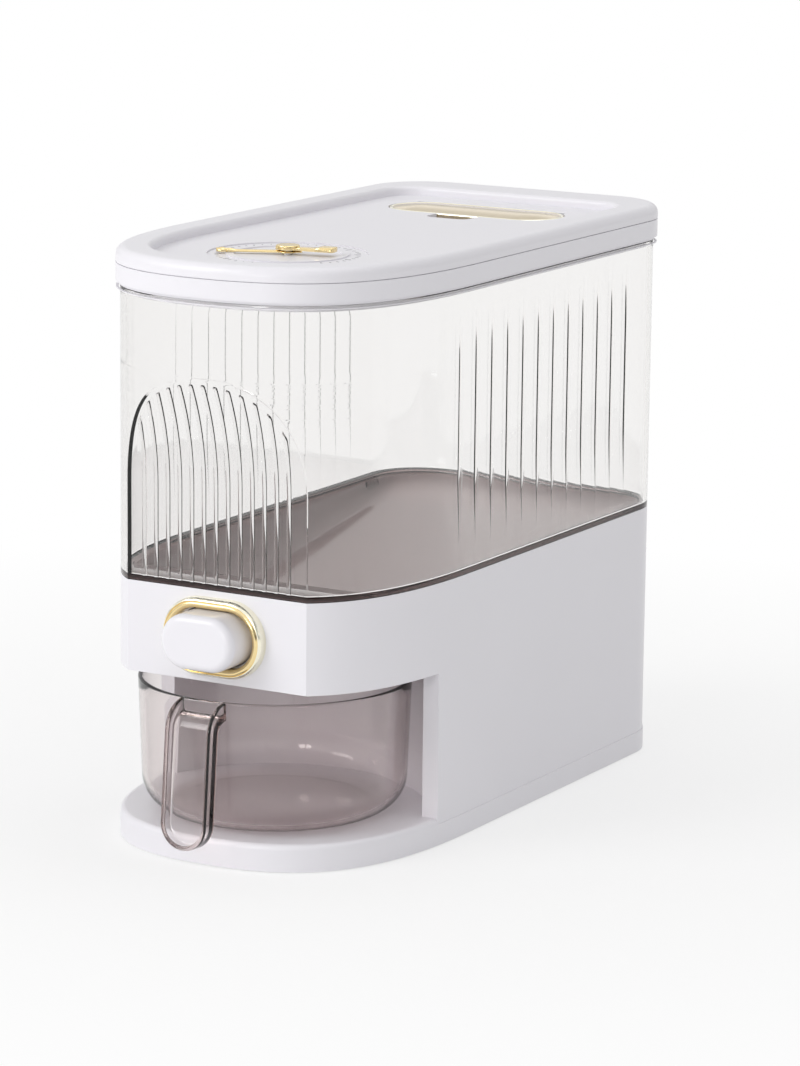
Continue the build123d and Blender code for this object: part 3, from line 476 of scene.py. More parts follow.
def half_outline(start, inset, bow_count=90, side=None, corner_count=22, rear_count=14):
    """Right half of the plan outline, one row for each start and inset, from t = start on the bowed front to
    the middle of the rear: the bow up to the first side column, the side, a quarter circle and half the rear.

    side holds the Y of the side's columns, one row for all rows of the outline or one for each of them.
    """
    sizes = bpy.context.scene.dispenser_plan
    shoulder = sizes.front + sizes.front_curve
    start = np.atleast_1d(np.asarray(start, float))
    inset = np.broadcast_to(np.atleast_1d(np.asarray(inset, float)), start.shape)
    half = (sizes.half_width - inset)[:, None]
    rear = (sizes.rear - inset)[:, None]
    corner = np.maximum(sizes.corner - inset, 3.0)[:, None]
    if side is None:
        side = shoulder + (sizes.rear - sizes.corner - shoulder) * np.linspace(0, 1, 41)[None, :-1]
    side = np.broadcast_to(side, (len(start), side.shape[1]))
    insets, which = np.unique(inset, return_inverse=True)
    turns = np.stack([curve_place(each, y=np.minimum(side, shoulder)) for each in insets])
    turn = turns[which, np.arange(len(start))]
    side_x = np.where(side < shoulder, bowed_front(turn, inset[:, None])[0], half)
    t = start[:, None] + (turn[:, :1] - start[:, None]) * np.linspace(0, 1, bow_count)[None, :-1]
    x, y = bowed_front(t, inset[:, None])
    angle = np.linspace(0, np.pi / 2, corner_count)[None, :]
    back = np.linspace(0, 1, rear_count + 1)[None, 1:]
    xs = [x, side_x, half - corner + corner * np.cos(angle), (half - corner) * (1 - back)]
    ys = [y, side, rear - corner + corner * np.sin(angle), rear + 0 * back]
    return np.concatenate(xs, 1), np.concatenate(ys, 1)


def smooth_step(value, low, high):
    """0 below low and 1 above high, with a smooth run between them."""
    share = np.clip((value - low) / (high - low), 0, 1)
    return share * share * (3 - 2 * share)


# ------------------------------------------------------------------ tank
def rib_columns(sizes, edge):
    """X of the scoop's grid columns from the middle to its edge, close together across every rib."""
    centres = np.arange((sizes.rib_count + 1) // 2) * sizes.rib_pitch
    across = np.array([-1.0, -0.93, -0.75, -0.4, 0, 0.4, 0.75, 0.93, 1.0])
    near = (centres[:, None] + across[None, :] * sizes.rib_half_width).ravel()
    between = centres + sizes.rib_pitch / 2
    last = centres[-1] + 2 * sizes.rib_half_width
    rest = last + (edge - last) * np.sin(np.linspace(0, np.pi / 2, 12))
    columns = np.unique(np.round(np.concatenate([near, between, rest, [edge]]), 5))
    return columns[(columns >= 0) & (columns <= edge + 1e-4)]


def scoop_y(z, plane):
    """Y of the scoop's front at height z: upright to the start, then leaning out along a circle."""
    sizes = bpy.context.scene.dispenser_tank
    rise = np.clip(z - sizes.bottom - sizes.scoop_start, 0, sizes.scoop_radius)
    return plane - (sizes.scoop_radius - np.sqrt(sizes.scoop_radius**2 - rise**2))


def crest_columns(sizes, height):
    """Y of the side's columns at each height, close together across the crest between two flutes, and how far
    the crest stands out there. A crest is nearly half round, and its lower end runs out in a point."""
    plan = bpy.context.scene.dispenser_plan
    centres = plan.front + sizes.flute_setback + sizes.flute_pitch * np.arange(sizes.flute_count + 1)
    across = np.array([-1.06, -1.0, -0.9, -0.6, 0, 0.6, 0.9, 1.0, 1.06])
    share = smooth_step(height, sizes.crest_low, sizes.crest_full)[:, None, None]
    pointed = 0.06  # share of its width that a crest's columns keep at its pointed end
    reach = sizes.crest_half_width * np.maximum(share, pointed)
    crests = centres[None, :, None] + across[None, None, :] * reach
    middles = np.broadcast_to((centres + sizes.flute_pitch * 0.5)[None, :, None], (len(height), len(centres), 1))
    y = np.concatenate([crests, middles], 2).reshape(len(height), -1)
    rise = sizes.crest_height * share * np.clip(1 - across**2, 0, 1)[None, None, :] ** 0.6
    rise = np.broadcast_to(rise, (len(height), len(centres), len(across)))
    rise = np.concatenate([rise, np.zeros((len(height), len(centres), 1))], 2).reshape(len(height), -1)
    return y, rise


def tank_skin(inset, plane, columns, top_rows, ribs):
    """Sheets of one skin of the tank: the scoop's panel and the wall, right half and left half.

    The panel's top edge is the arch where the leaning plane meets the bowed front: at x, the height above the
    start is the square root of R^2 - (R - d)^2, with d the distance from the plane to the bow.
    The wall's rows start on that arch, so the sheets share its points.
    """
    sizes = bpy.context.scene.dispenser_tank
    start_z = sizes.bottom + sizes.scoop_start
    t_column = curve_place(inset, x=columns)
    bow_y = bowed_front(t_column, inset)[1]
    depth = np.clip(plane - bow_y, 0, None)
    depth[-1] = 0
    arch = start_z + np.sqrt(np.maximum(sizes.scoop_radius**2 - (sizes.scoop_radius - depth) ** 2, 0))
    slope = np.clip(np.abs(np.gradient(arch, columns)), 0, 3.0)
    gap = sizes.rib_end_gap * np.sqrt(1 + slope**2)
    near = np.array([0, 0.5, 0.85, 0.95, 1.0, 1.04, 1.1, 1.2, 1.35, 1.6, 2.0])
    low = np.linspace(0, 1, 18)[1:]
    height = np.concatenate([arch[None, :] - gap[None, :] * near[:, None],
                             (arch - 2 * gap)[None, :] * (1 - low[:, None]) + sizes.bottom * low[:, None]])
    x = np.broadcast_to(columns[None, :], height.shape)
    y = scoop_y(height, plane)
    if ribs:
        centre = np.round(x / sizes.rib_pitch) * sizes.rib_pitch
        within = np.abs(x - centre) / sizes.rib_half_width
        within = np.where(np.abs(centre) > (sizes.rib_count - 1) / 2 * sizes.rib_pitch + 0.1, 9, within)
        past = np.clip(1 - (arch[None, :] - gap[None, :] - height) / sizes.rib_half_width, 0, 9)
        y = y - sizes.rib_height * np.sqrt(np.clip(1 - within**2 - past**2, 0, 1))
        y[0] = bow_y
        y[:, -1] = plane
    y[0] = np.where(depth > 0, bow_y, plane)
    panel = {"points": np.stack([x, y, height], -1)}
    side_z = height[::-1, -1]
    wall_z = np.concatenate([side_z, arch[::-1][1:]])
    wall_start = np.concatenate([np.full(len(side_z), t_column[-1]), t_column[::-1][1:]])
    wall_inset = np.full(len(wall_z), inset)
    apex = arch[0]
    plain = apex + (top_rows[0][0] - apex) * np.linspace(0, 1, 9)[1:-1]
    wall_z = np.concatenate([wall_z, plain, [row[0] for row in top_rows]])
    wall_start = np.concatenate([wall_start, np.zeros(len(plain) + len(top_rows))])
    wall_inset = np.concatenate([wall_inset, np.full(len(plain), inset), [row[1] for row in top_rows]])
    side, crest = crest_columns(sizes, wall_z)
    wall_x, wall_y = half_outline(wall_start, wall_inset, BOW_COLUMNS + 1, side, 12, 4)
    on_side = slice(BOW_COLUMNS, BOW_COLUMNS + side.shape[1])
    z = np.broadcast_to(wall_z[:, None], wall_x.shape)
    if ribs:
        first = bpy.context.scene.dispenser_plan.front + sizes.flute_setback
        turn = (wall_y - first) / sizes.flute_pitch
        scallop = 1 - (2 * (turn - np.floor(turn)) - 1) ** 2
        inside = (turn > 0) & (turn < sizes.flute_count)
        fade = 1 - smooth_step(z, sizes.flute_fade_low, sizes.flute_fade_high)
        wall_x = wall_x - np.where(inside, sizes.flute_depth * scallop * fade, 0)
        stands = crest * fade[:, :1]
        wall_x[:, on_side] += stands
    wall = {"points": np.stack([wall_x, wall_y, z], -1)}
    left = mirrored(wall)
    if ribs:
        left["points"][:, on_side, 0] += stands * (1 - sizes.left_crest)
    return [panel, mirrored(panel), wall, left]


def edge_strip(first, second):
    """Sheet between two rows of points."""
    return {"points": np.stack([first, second])}


class DISPENSER_OT_tank(Operator):
    """Make the clear tank: bowed front with a ribbed scoop, fluted sides and the collar that holds the lid"""

    bl_idname = "dispenser.tank"
    bl_label = "Clear tank"

    def execute(self, context):
        sizes = context.scene.dispenser_tank
        plan = context.scene.dispenser_plan
        collar = sizes.inset + sizes.wall / 2
        edge = bow_x_at(plan.facet, sizes.inset)
        columns = rib_columns(sizes, edge)
        outer_rows = [(sizes.shoulder - 0.8, sizes.inset), (sizes.shoulder - 0.35, sizes.inset + 0.08),
                      (sizes.shoulder - 0.08, sizes.inset + 0.35), (sizes.shoulder, sizes.inset + 0.8),
                      (sizes.shoulder, collar), (sizes.top - 0.3, collar), (sizes.top, collar + 0.3)]
        outer = tank_skin(sizes.inset, plan.facet, columns, outer_rows, True)
        deep = sizes.inset + sizes.wall
        plane = plan.facet + sizes.wall
        inner_edge = bow_x_at(plane, deep)
        collar_height = sizes.top - sizes.shoulder
        inner_rows = [(sizes.shoulder + collar_height * share, deep) for share in np.linspace(0, 1, 7)]
        inner = tank_skin(deep, plane, columns * inner_edge / edge, inner_rows, False)
        sheets = outer + [{**sheet, "flip": not sheet.get("flip", False)} for sheet in inner]
        for one, other in zip(outer, inner):
            place = -1 if one is outer[0] or one is outer[1] else 0
            sheets.append(edge_strip(one["points"][place], other["points"][place]))
        for one, other in zip(outer[2:], inner[2:]):
            sheets.append(edge_strip(one["points"][-1], other["points"][-1]))
        build_mesh("clear_tank", sheets, "clear", "base", ["tank"], 28.0)
        return {"FINISHED"}


# ------------------------------------------------------------------ hopper
def closed_loop(inset, flat_at, panel_count=30):
    """Closed plan loop, anticlockwise from the middle of the front: the flat panel at y = flat_at, then the
    outline."""
    start = float(curve_place(inset, y=flat_at))
    x, y = half_outline(start, inset, 60, None, 18, 12)
    edge = x[0, 0]
    panel = np.linspace(0, edge, panel_count)[:-1]
    front = np.stack([panel, np.full(len(panel), flat_at)], -1)
    right = np.concatenate([front, np.stack([x[0], y[0]], -1)])
    left = right[1:-1][::-1] * (-1, 1)
    return np.concatenate([right, left])


class DISPENSER_OT_hopper(Operator):
    """Make the smoke hopper: flange, tub, sloping floor with a cove, and the outlet"""

    bl_idname = "dispenser.hopper"
    bl_label = "Smoke hopper"

    def execute(self, context):
        sizes = context.scene.dispenser_hopper
        plan = context.scene.dispenser_plan
        cup_y = context.scene.dispenser_cup.centre
        top = context.scene.dispenser_tank.bottom
        low = top - sizes.flange
        tub_front = plan.front + sizes.tub_setback
        flange = closed_loop(2.0, plan.facet)
        tub_out = closed_loop(sizes.tub_inset, tub_front)
        tub_in = closed_loop(sizes.tub_inset + sizes.tub_wall, tub_front + sizes.tub_wall)
        centre = np.array([0.0, cup_y])
        reach = plan.rear - sizes.tub_inset - cup_y
        slope = (low - sizes.rear_drop - sizes.floor) / (reach - sizes.throat)

        def at(loop, z):
            return np.column_stack([loop, np.broadcast_to(z, len(loop))])

        def outlet(loop):
            off = loop - centre
            reach_x = (sizes.outlet_width / 2) / np.maximum(np.abs(off[:, 0]), 1e-6)
            reach_y = (sizes.outlet_length / 2) / np.maximum(np.abs(off[:, 1]), 1e-6)
            return centre + off * np.minimum(reach_x, reach_y)[:, None]

        def bowl(wall, rim, thickness=0.0, thin=0.0):
            """Rows from the outlet to the wall: the cone, and a quarter ellipse that rises to the rim, both
            lowered by a thickness that goes down to thin at the wall."""
            hole = outlet(wall)
            share = np.sin(np.linspace(0, np.pi / 2, 36))[:, None, None]
            loops = hole + (wall - hole) * share
            base = sizes.floor + slope * np.clip(np.linalg.norm(loops - centre, axis=2) - sizes.throat, 0, None)
            from_wall = np.linalg.norm(wall - loops, axis=2) / sizes.cove
            lift = 1 - np.sqrt(np.clip(1 - np.clip(1 - from_wall, 0, 1) ** 2, 0, 1))
            z = base + (rim - base) * lift - thin - (thickness - thin) * smooth_step(from_wall, 0.3, 1.2)
            return np.concatenate([loops, z[:, :, None]], 2)

        inner_edge = closed_loop(2.4, plan.facet + 0.4)
        fall = sizes.ledge_drop * np.clip(np.linalg.norm(inner_edge - tub_in, axis=1) / 30.0, 0, 1)
        inside = bowl(tub_in, (top - 0.6 - fall)[None, :])
        soft_edge = closed_loop(sizes.tub_inset + sizes.tub_wall - 0.5, tub_front + sizes.tub_wall - 0.5)
        upper_rows = [*inside, at(tub_in * 0.5 + soft_edge * 0.5, top - 0.15 - fall), at(soft_edge, top - fall),
                      at(inner_edge, top), at(closed_loop(2.1, plan.facet + 0.1), top - 0.12),
                      at(flange, top - 0.5), at(flange, low)]
        # Painted shade: the flange's underside along its outer 3 mm (paint 2) gets a near-black finish, so that
        # the seam reads as if in shadow.
        painted_shade_edge = closed_loop(4.6, plan.facet + 2.6)
        outside = bowl(tub_out, np.full((1, len(tub_out)), low), sizes.floor_thickness, sizes.cove_thickness)
        upper = {"points": np.stack(upper_rows), "wrap_columns": True}
        edge = {"points": np.stack([upper_rows[-1], at(painted_shade_edge, low)]), "wrap_columns": True, "paint": 2}
        lower = {"points": np.stack([at(painted_shade_edge, low), *outside[::-1]]), "wrap_columns": True, "paint": 1}
        mouth = {"points": np.stack([outside[0], inside[0]]), "wrap_columns": True}
        build_mesh("smoke_hopper", [upper, edge, lower, mouth], "smoke backing shade", "base",
                   ["hopper"], 35.0)
        self.tabs(sizes, plan, low)
        return {"FINISHED"}

    def tabs(self, sizes, plan, low):
        """Two smoke snap tabs just inside the tub's wall: each a plate with a wide head and a narrow foot."""
        outer = plan.half_width - sizes.tub_inset - sizes.tub_wall - 0.2
        half = sizes.tab_width / 2
        foot = low - sizes.tab_reach
        outline = np.array([(-half, low), (-half, low - 4), (-0.55 * half, low - 6.5), (-0.45 * half, foot + 1),
                            (0.1 * half, foot), (0.5 * half, foot + 3), (0.6 * half, low - 6.5), (half, low - 4),
                            (half, low)])
        left = np.column_stack([np.full(len(outline), outer), sizes.tab_y + outline[:, 0], outline[:, 1]])
        right = left - (1.0, 0, 0)
        core = [np.repeat(side.mean(0)[None, :], len(side), 0) for side in (left, right)]
        sheet = {"points": np.stack([core[0], left, right, core[1]]), "wrap_columns": True}
        build_mesh("smoke_tabs", [sheet, mirrored(sheet)], "smoke", "base", ["hopper"])


# ------------------------------------------------------------------ cup
class DISPENSER_OT_cup(Operator):
    """Make the smoke measuring cup: a turned bowl with a round rim, and a channel handle open to the front"""

    bl_idname = "dispenser.cup"
    bl_label = "Measuring cup"

    def execute(self, context):
        sizes = context.scene.dispenser_cup
        bowl = self.bowl(sizes)
        handle = self.handle(sizes)
        build_mesh("smoke_cup", [bowl], "smoke_cup", "cup", ["measuring_cup"], 40.0)
        build_mesh("smoke_cup_handle", handle, "smoke_cup", "cup", ["measuring_cup"], 35.0)
        return {"FINISHED"}

    def bowl(self, sizes):
        """Profile (radius, height) turned round the cup's axis: outside from the foot up, over a half-round rim,
        down the inside and over the inner corner to the middle of the floor."""
        foot = sizes.rim_radius - sizes.draft - sizes.corner
        angle = np.linspace(-np.pi / 2, 0, 18)
        low_out = sizes.bottom
        outer_corner = self.quarter(foot, low_out, sizes.corner, angle)
        half_wall = sizes.wall / 2
        rim_angle = np.linspace(0, np.pi, 13)
        rim_z = sizes.top - half_wall
        rim = np.stack([sizes.rim_radius - half_wall + half_wall * np.cos(rim_angle),
                        rim_z + half_wall * np.sin(rim_angle)], -1)
        small = sizes.corner - sizes.wall
        low_in = sizes.bottom + sizes.floor
        inner_corner = self.quarter(foot, low_in, small, angle)[::-1]
        middle_out = np.stack([np.linspace(0, foot, 9)[:-1], np.full(8, low_out)], -1)
        middle_in = np.stack([np.linspace(foot, 0, 9)[1:], np.full(8, low_in)], -1)
        up = self.between(outer_corner[-1], rim[0], 8)
        down = self.between(rim[-1], inner_corner[0], 8)
        profile = np.concatenate([middle_out, outer_corner, up, rim, down, inner_corner, middle_in])
        turn = np.linspace(0, 2 * np.pi, 145)[:-1]
        points = np.stack([profile[:, :1] * np.cos(turn), sizes.centre + profile[:, :1] * np.sin(turn),
                           np.broadcast_to(profile[:, 1:], (len(profile), len(turn)))], -1)
        return {"points": points, "wrap_columns": True}

    def quarter(self, out, low, radius, angle):
        """Rounded bottom corner of a profile, from its floor at low up to its wall."""
        return np.stack([out + radius * np.cos(angle), low + radius * (1 + np.sin(angle))], -1)

    def between(self, first, last, count):
        """Points between two profile points, without the ends."""
        share = np.linspace(0, 1, count + 2)[1:-1, None]
        return first + (last - first) * share

    def handle(self, sizes):
        """The handle's flat pattern, a strip with a round end and raised sides, bent along its side view.

        A pattern point is (x, s, d): s along the back face's path, d out of it. Path: out from the rim, round
        the bend, and down the strap. The place is path(s) + d k(s) normal(s), where k takes the depth from
        the root's to the strap's.
        """
        half = sizes.handle_width / 2
        path, total = self.handle_path(sizes)
        straight = total - half
        s_line = np.linspace(0, 1, 60) * straight
        angle = np.linspace(0, np.pi / 2, 22)[1:]

        def rim_curve(radius):
            """Right half of a U: down the side, then a quarter circle of this radius to the tip."""
            x = np.concatenate([np.full(len(s_line), radius), radius * np.cos(angle)])
            s = np.concatenate([s_line, straight + radius * np.sin(angle)])
            return np.stack([x, s], -1)

        spine_s = np.concatenate([s_line, np.full(len(angle), straight)])
        spine = np.stack([np.zeros(len(spine_s)), spine_s], -1)
        wall = sizes.handle_wall
        depth = sizes.handle_depth

        def ring(radius, d):
            curve = rim_curve(radius)
            return np.column_stack([curve, np.full(len(curve), d)])

        def fill(radius, d, shares):
            curve = rim_curve(radius)
            level = np.full(len(curve), d)
            return [np.column_stack([spine + (curve - spine) * share, level]) for share in shares]

        edge, lip_height, cove_radius = 0.45, 1.1, 1.2
        lip_low = depth - lip_height
        rows = fill(half - edge, 0.0, np.linspace(0, 1, 6))
        rows += [ring(half - 0.13, 0.13), ring(half, edge)]
        rows += [ring(half, d) for d in np.linspace(edge, lip_low, 5)[1:]]
        lip = np.linspace(0, np.pi, 9)[1:-1]
        rows += [ring(half - wall / 2 + wall / 2 * np.cos(a), lip_low + lip_height * np.sin(a)) for a in lip]
        inner = half - wall
        rows += [ring(inner, d) for d in np.linspace(lip_low, wall + cove_radius, 5)]
        cove = np.linspace(0, np.pi / 2, 6)[1:]
        rows += [ring(inner - cove_radius * (1 - np.cos(a)), wall + cove_radius * (1 - np.sin(a))) for a in cove]
        rows += fill(inner - cove_radius, wall, np.linspace(1, 0, 6)[1:])
        pattern = np.stack(rows)
        sheet = {"points": self.bend(pattern, path, sizes)}
        cap = self.root_cap(sheet)
        return [sheet, mirrored(sheet), cap, mirrored(cap)]

    def root_cap(self, sheet):
        """Closes the handle's root end, inside the cup's wall."""
        end = sheet["points"][:, 0]
        middle = end.copy()
        middle[:, 0] = 0
        return {"points": np.stack([end, middle]), "flip": True}

    def handle_path(self, sizes):
        """Back face's path in the side view as samples of (s, y, z, normal y, normal z, depth share)."""
        root_y = sizes.centre - sizes.rim_radius + 0.4
        root_z = sizes.top - sizes.handle_root
        inner_y = sizes.handle_front + sizes.handle_depth
        lean = math.atan2(sizes.handle_slant, root_z - sizes.handle_bottom)
        sweep = math.pi / 2 - lean
        radius = sizes.handle_bend
        tangent = radius * math.tan(sweep / 2)
        first = abs(root_y - inner_y) - tangent
        down = math.hypot(sizes.handle_slant, root_z - sizes.handle_bottom) - tangent
        arc = radius * sweep
        s = np.concatenate([np.linspace(0, first, 8)[:-1], first + np.linspace(0, arc, 24)[:-1],
                            first + arc + np.linspace(0, down, 30)])
        heading = np.clip((s - first) / radius, 0, sweep)
        turned = np.clip(s - first, 0, arc)
        after = np.clip(s - first - arc, 0, None)
        y = root_y - np.minimum(s, first) - radius * np.sin(turned / radius) - after * math.cos(sweep)
        z = root_z - radius * (1 - np.cos(turned / radius)) - after * math.sin(sweep)
        normal_y, normal_z = -np.sin(heading), np.cos(heading)
        share = sizes.handle_root / sizes.handle_depth
        depth = share + (1 - share) * smooth_step(s, 0, first + arc)
        return np.stack([s, y, z, normal_y, normal_z, depth]), first + arc + down

    def bend(self, pattern, path, sizes):
        """Pattern points laid along the path."""
        s = pattern[..., 1]
        y, z, normal_y, normal_z, depth = (np.interp(s, path[0], values) for values in path[1:])
        out = pattern[..., 2] * depth
        x = pattern[..., 0]
        hug = 1 - smooth_step(s, 0.0, 6.0)
        curve = (sizes.rim_radius - np.sqrt(sizes.rim_radius**2 - x**2)) * hug
        return np.stack([x, y + out * normal_y + curve, z + out * normal_z], -1)


# ------------------------------------------------------------------ trim
def stadium(straight, radius, count=25, face=13):
    """Closed stadium in its own plane, anticlockwise: two half circles of this radius and the runs between."""
    cap = np.linspace(-np.pi / 2, np.pi / 2, count)
    run = np.linspace(1, -1, face + 2)[1:-1] * straight
    right = np.stack([straight + radius * np.cos(cap), radius * np.sin(cap)], -1)
    top = np.stack([run, np.full(face, radius)], -1)
    return np.concatenate([right, top, -right, -top])


def stadium_rows(profile, straight, radius):
    """Rows of a stadium that is drawn in by each inset of the profile, with its height."""
    return np.stack([np.column_stack([stadium(straight, radius - inset), np.full(76, height)])
                     for inset, height in profile])


class DISPENSER_OT_bail(Operator):
    """Make the lid's folding bail: a crowned champagne plate with a pale bead round its edge"""

    bl_idname = "dispenser.bail"
    bl_label = "Bail"

    def execute(self, context):
        radius = (bail_high[1] - bail_low[1]) / 2
        straight = (bail_high[0] - bail_low[0]) / 2 - radius
        centre = np.array([0, (bail_high[1] + bail_low[1]) / 2, 0])
        low, high = bail_low[2] + 0.2, bail_high[2]
        crown = np.linspace(0, 1, 22)
        under = [(radius, low), (radius * 0.5, low), (0.8, low), (0.2, low + 0.2), (0, low + 0.7),
                 (0, high - 0.9)]
        bead = [(0, high - 0.9), (0.12, high - 0.55), (0.45, high - 0.3), (0.9, high - 0.24),
                (1.3, high - 0.34), (1.6, high - 0.55)]
        dome = [(1.6 + (radius - 1.6) * share, high - 0.55 + 1.35 * math.sin(share * math.pi / 2))
                for share in crown]
        sheets = [{"points": stadium_rows(rows, straight, radius) + centre, "wrap_columns": True, "paint": paint}
                  for rows, paint in ((under, 0), (bead, 1), (dome, 0))]
        build_mesh("champagne_bail", sheets, "champagne cream_gold", "bail", ["lid_bail"], 50.0)
        return {"FINISHED"}


class DISPENSER_OT_bezel(Operator):
    """Make the gold bezel round the button: a pale outer slope, a round crest and a gold inward slope"""

    bl_idname = "dispenser.bezel"
    bl_label = "Button bezel"

    def execute(self, context):
        radius = (bezel_high[2] - bezel_low[2]) / 2
        straight = (bezel_high[0] - bezel_low[0]) / 2 - radius
        centre = np.array([0, 0, (bezel_high[2] + bezel_low[2]) / 2])
        back, front = bezel_high[1], bezel_low[1]
        turn = np.linspace(0, math.pi / 2, 9)
        slope = [(0, back), (0, back - 1.6)]
        slope += [(1.5 - 1.5 * math.cos(a), back - 1.6 - 3.3 * math.sin(a)) for a in turn[1:]]
        ridge = slope[-1][1]
        crest = [slope[-1], (1.7, ridge + 0.25), (1.9, ridge + 0.1), (2.3, front + 0.25), (2.7, front + 0.05),
                 (3.1, front), (3.5, front + 0.08), (4.2, front + 0.5), (4.8, front + 1.2), (4.95, front + 1.8),
                 (4.95, back)]
        sheets = []
        for rows, paint in ((slope, 1), (crest, 0), ([(4.95, back), (0, back)], 0)):
            flat = stadium_rows(rows, straight, radius)
            sheets.append({"points": flat[..., [0, 2, 1]] + centre, "wrap_columns": True, "paint": paint})
        build_mesh("gold_bezel", sheets, "gold cream_gold", "base", ["button_bezel"], 50.0)
        return {"FINISHED"}


class DISPENSER_OT_pointers(Operator):
    """Make the dial's two pointers: a long one with a ball tip and a short one with a boxy end"""

    bl_idname = "dispenser.pointers"
    bl_label = "Dial pointers"

    def execute(self, context):
        centre_y = (dial_low[1] + dial_high[1]) / 2
        disc_radius, ball_radius, ball_at = 4.2, 2.8, 31.2
        reach = np.concatenate([np.linspace(-7, -4.3, 8), np.linspace(-disc_radius, disc_radius, 33),
                                np.linspace(4.3, 28.4, 20),
                                ball_at - ball_radius * np.cos(np.linspace(0, np.pi, 29))])
        disc = np.sqrt(np.clip(disc_radius**2 - reach**2, 0, None))
        ball = np.sqrt(np.clip(ball_radius**2 - (reach - ball_at) ** 2, 0, None))
        bar = np.interp(reach, [-7, -6.2, 0, 28.6, 29.5], [0, 1.6, 2.6, 1.6, 0])
        width = np.maximum.reduce([disc, ball, bar])
        tall = np.interp(reach, [-7, -6.5, 4, 25.2, 26.5], [0, 1.0, 1.15, 1.15, 1.7])
        tall = np.where(ball > 1.2, np.maximum(tall, 0.75 * ball), tall)
        tall[-1] = width[-1] = 0
        self.pointer("gold_long_pointer", "long_pointer", reach, width, tall, math.radians(207), centre_y, 0.3)
        disc_radius, end_at, end_length = 4.6, 22.5, 1.5
        reach = np.concatenate([np.linspace(-6.2, -4.7, 6), np.linspace(-disc_radius, disc_radius, 33),
                                np.linspace(4.7, end_at, 26),
                                end_at + end_length * np.sin(np.linspace(0.1, np.pi / 2, 9))])
        disc = np.sqrt(np.clip(disc_radius**2 - reach**2, 0, None))
        bar = np.interp(reach, [-6.2, -5.4, 0, 5, 17, end_at], [0, 2.2, 2.6, 2.7, 4.0, 4.0])
        past_end = np.clip(reach - end_at, 0, end_length) / end_length
        width = np.maximum(disc, bar) * np.sqrt(np.clip(1 - past_end**2, 0, 1)) ** 0.5
        tall = 1.5 + 0.9 * smooth_step(reach, 13.5, 17.5)
        tall[0] = tall[-1] = width[-1] = 0
        self.pointer("gold_short_pointer", "short_pointer", reach, width, tall, math.radians(11), centre_y, 0.75)
        return {"FINISHED"}

    def pointer(self, name, node, reach, width, tall, heading, centre_y, shoulder):
        """A bar along its heading: half width and height by its reach, over a flat underside.

        Across it, at the share q of the half width, the top's height is shoulder + (1 - shoulder) times the
        square root of 1 - q^2 times the bar's height.
        """
        low = corner_mm(node, 0)[2]
        share = np.sin(np.linspace(-np.pi / 2, np.pi / 2, 17))
        over = shoulder + (1 - shoulder) * np.sqrt(np.clip(1 - share**2, 0, 1))
        across = np.concatenate([share, share[::-1][1:-1] * 0.999])
        height = np.concatenate([over, np.zeros(15)])
        across[16], height[16] = 1.0, shoulder
        along = np.broadcast_to(reach[:, None], (len(reach), len(across)))
        side = width[:, None] * across[None, :]
        z = low + tall[:, None] * height[None, :]
        x = along * math.cos(heading) - side * math.sin(heading)
        y = along * math.sin(heading) + side * math.cos(heading) + centre_y
        sheet = {"points": np.stack([x, y, z], -1), "wrap_columns": True}
        build_mesh(name, [sheet], "gold", node, [node], 40.0)


class DISPENSER_OT_spring(Operator):
    """Make the button's return spring: a round wire along a helix"""

    bl_idname = "dispenser.spring"
    bl_label = "Return spring"

    def execute(self, context):
        low, high = corner_mm("return_spring", 0), corner_mm("return_spring", 1)
        wire, turns, travel = 0.4, 5.0, 12.0
        radius = (high[0] - low[0]) / 2 - wire
        start, end = low[1] + wire, high[1] - wire
        middle_z = (high[2] + low[2]) / 2
        place = np.linspace(0, 1, 240)[:, None]
        angle = place * turns * 2 * math.pi
        round_wire = np.linspace(0, 2 * math.pi, 11)[None, :-1]
        size = wire * np.sqrt(np.clip(1 - np.clip(1 - np.minimum(place, 1 - place) * 120, 0, 1) ** 2, 0, 1))
        reach = radius + size * np.cos(round_wire)
        x = reach * np.cos(angle)
        z = reach * np.sin(angle) + middle_z
        y = start + place * (end - start) + size * np.sin(round_wire)
        sheet = {"points": np.stack([x, y, z], -1), "wrap_columns": True}
        piece = build_mesh("coil_spring", [sheet], "steel", "base", ["return_spring"])
        keep = (end - start - travel) / (end - start)
        anchor = (0, high[1] * MM, middle_z * MM)
        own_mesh(piece)
        return {"FINISHED"}


class DISPENSER_OT_dial_marks(Operator):
    """Print the dial's scale: short dark marks, every fourth one longer"""

    bl_idname = "dispenser.dial_marks"
    bl_label = "Dial marks"

    def execute(self, context):
        centre_y = (dial_low[1] + dial_high[1]) / 2
        sheets = []
        mark_count, outer = 48, 34.6
        for mark in range(mark_count):
            long_mark = mark % 4 == 0
            half = 0.28 if long_mark else 0.18
            inner = outer - (3.2 if long_mark else 1.8)
            loop = np.array([(inner, -half), (outer, -half), (outer, half), (inner, half)])
            middle = np.repeat(loop.mean(0)[None, :], 4, 0)
            flat = np.stack([middle, loop, loop, middle])
            z = np.array([-0.05, -0.05, 0.06, 0.06])[:, None] + dial_high[2] + np.zeros((4, 4))
            angle = mark * 2 * math.pi / mark_count
            x = flat[..., 0] * math.cos(angle) - flat[..., 1] * math.sin(angle)
            y = flat[..., 0] * math.sin(angle) + flat[..., 1] * math.cos(angle) + centre_y
            sheets.append({"points": np.stack([x, y, z], -1), "wrap_columns": True})
        build_mesh("dial_marks", sheets, "mark", "lid")
        return {"FINISHED"}


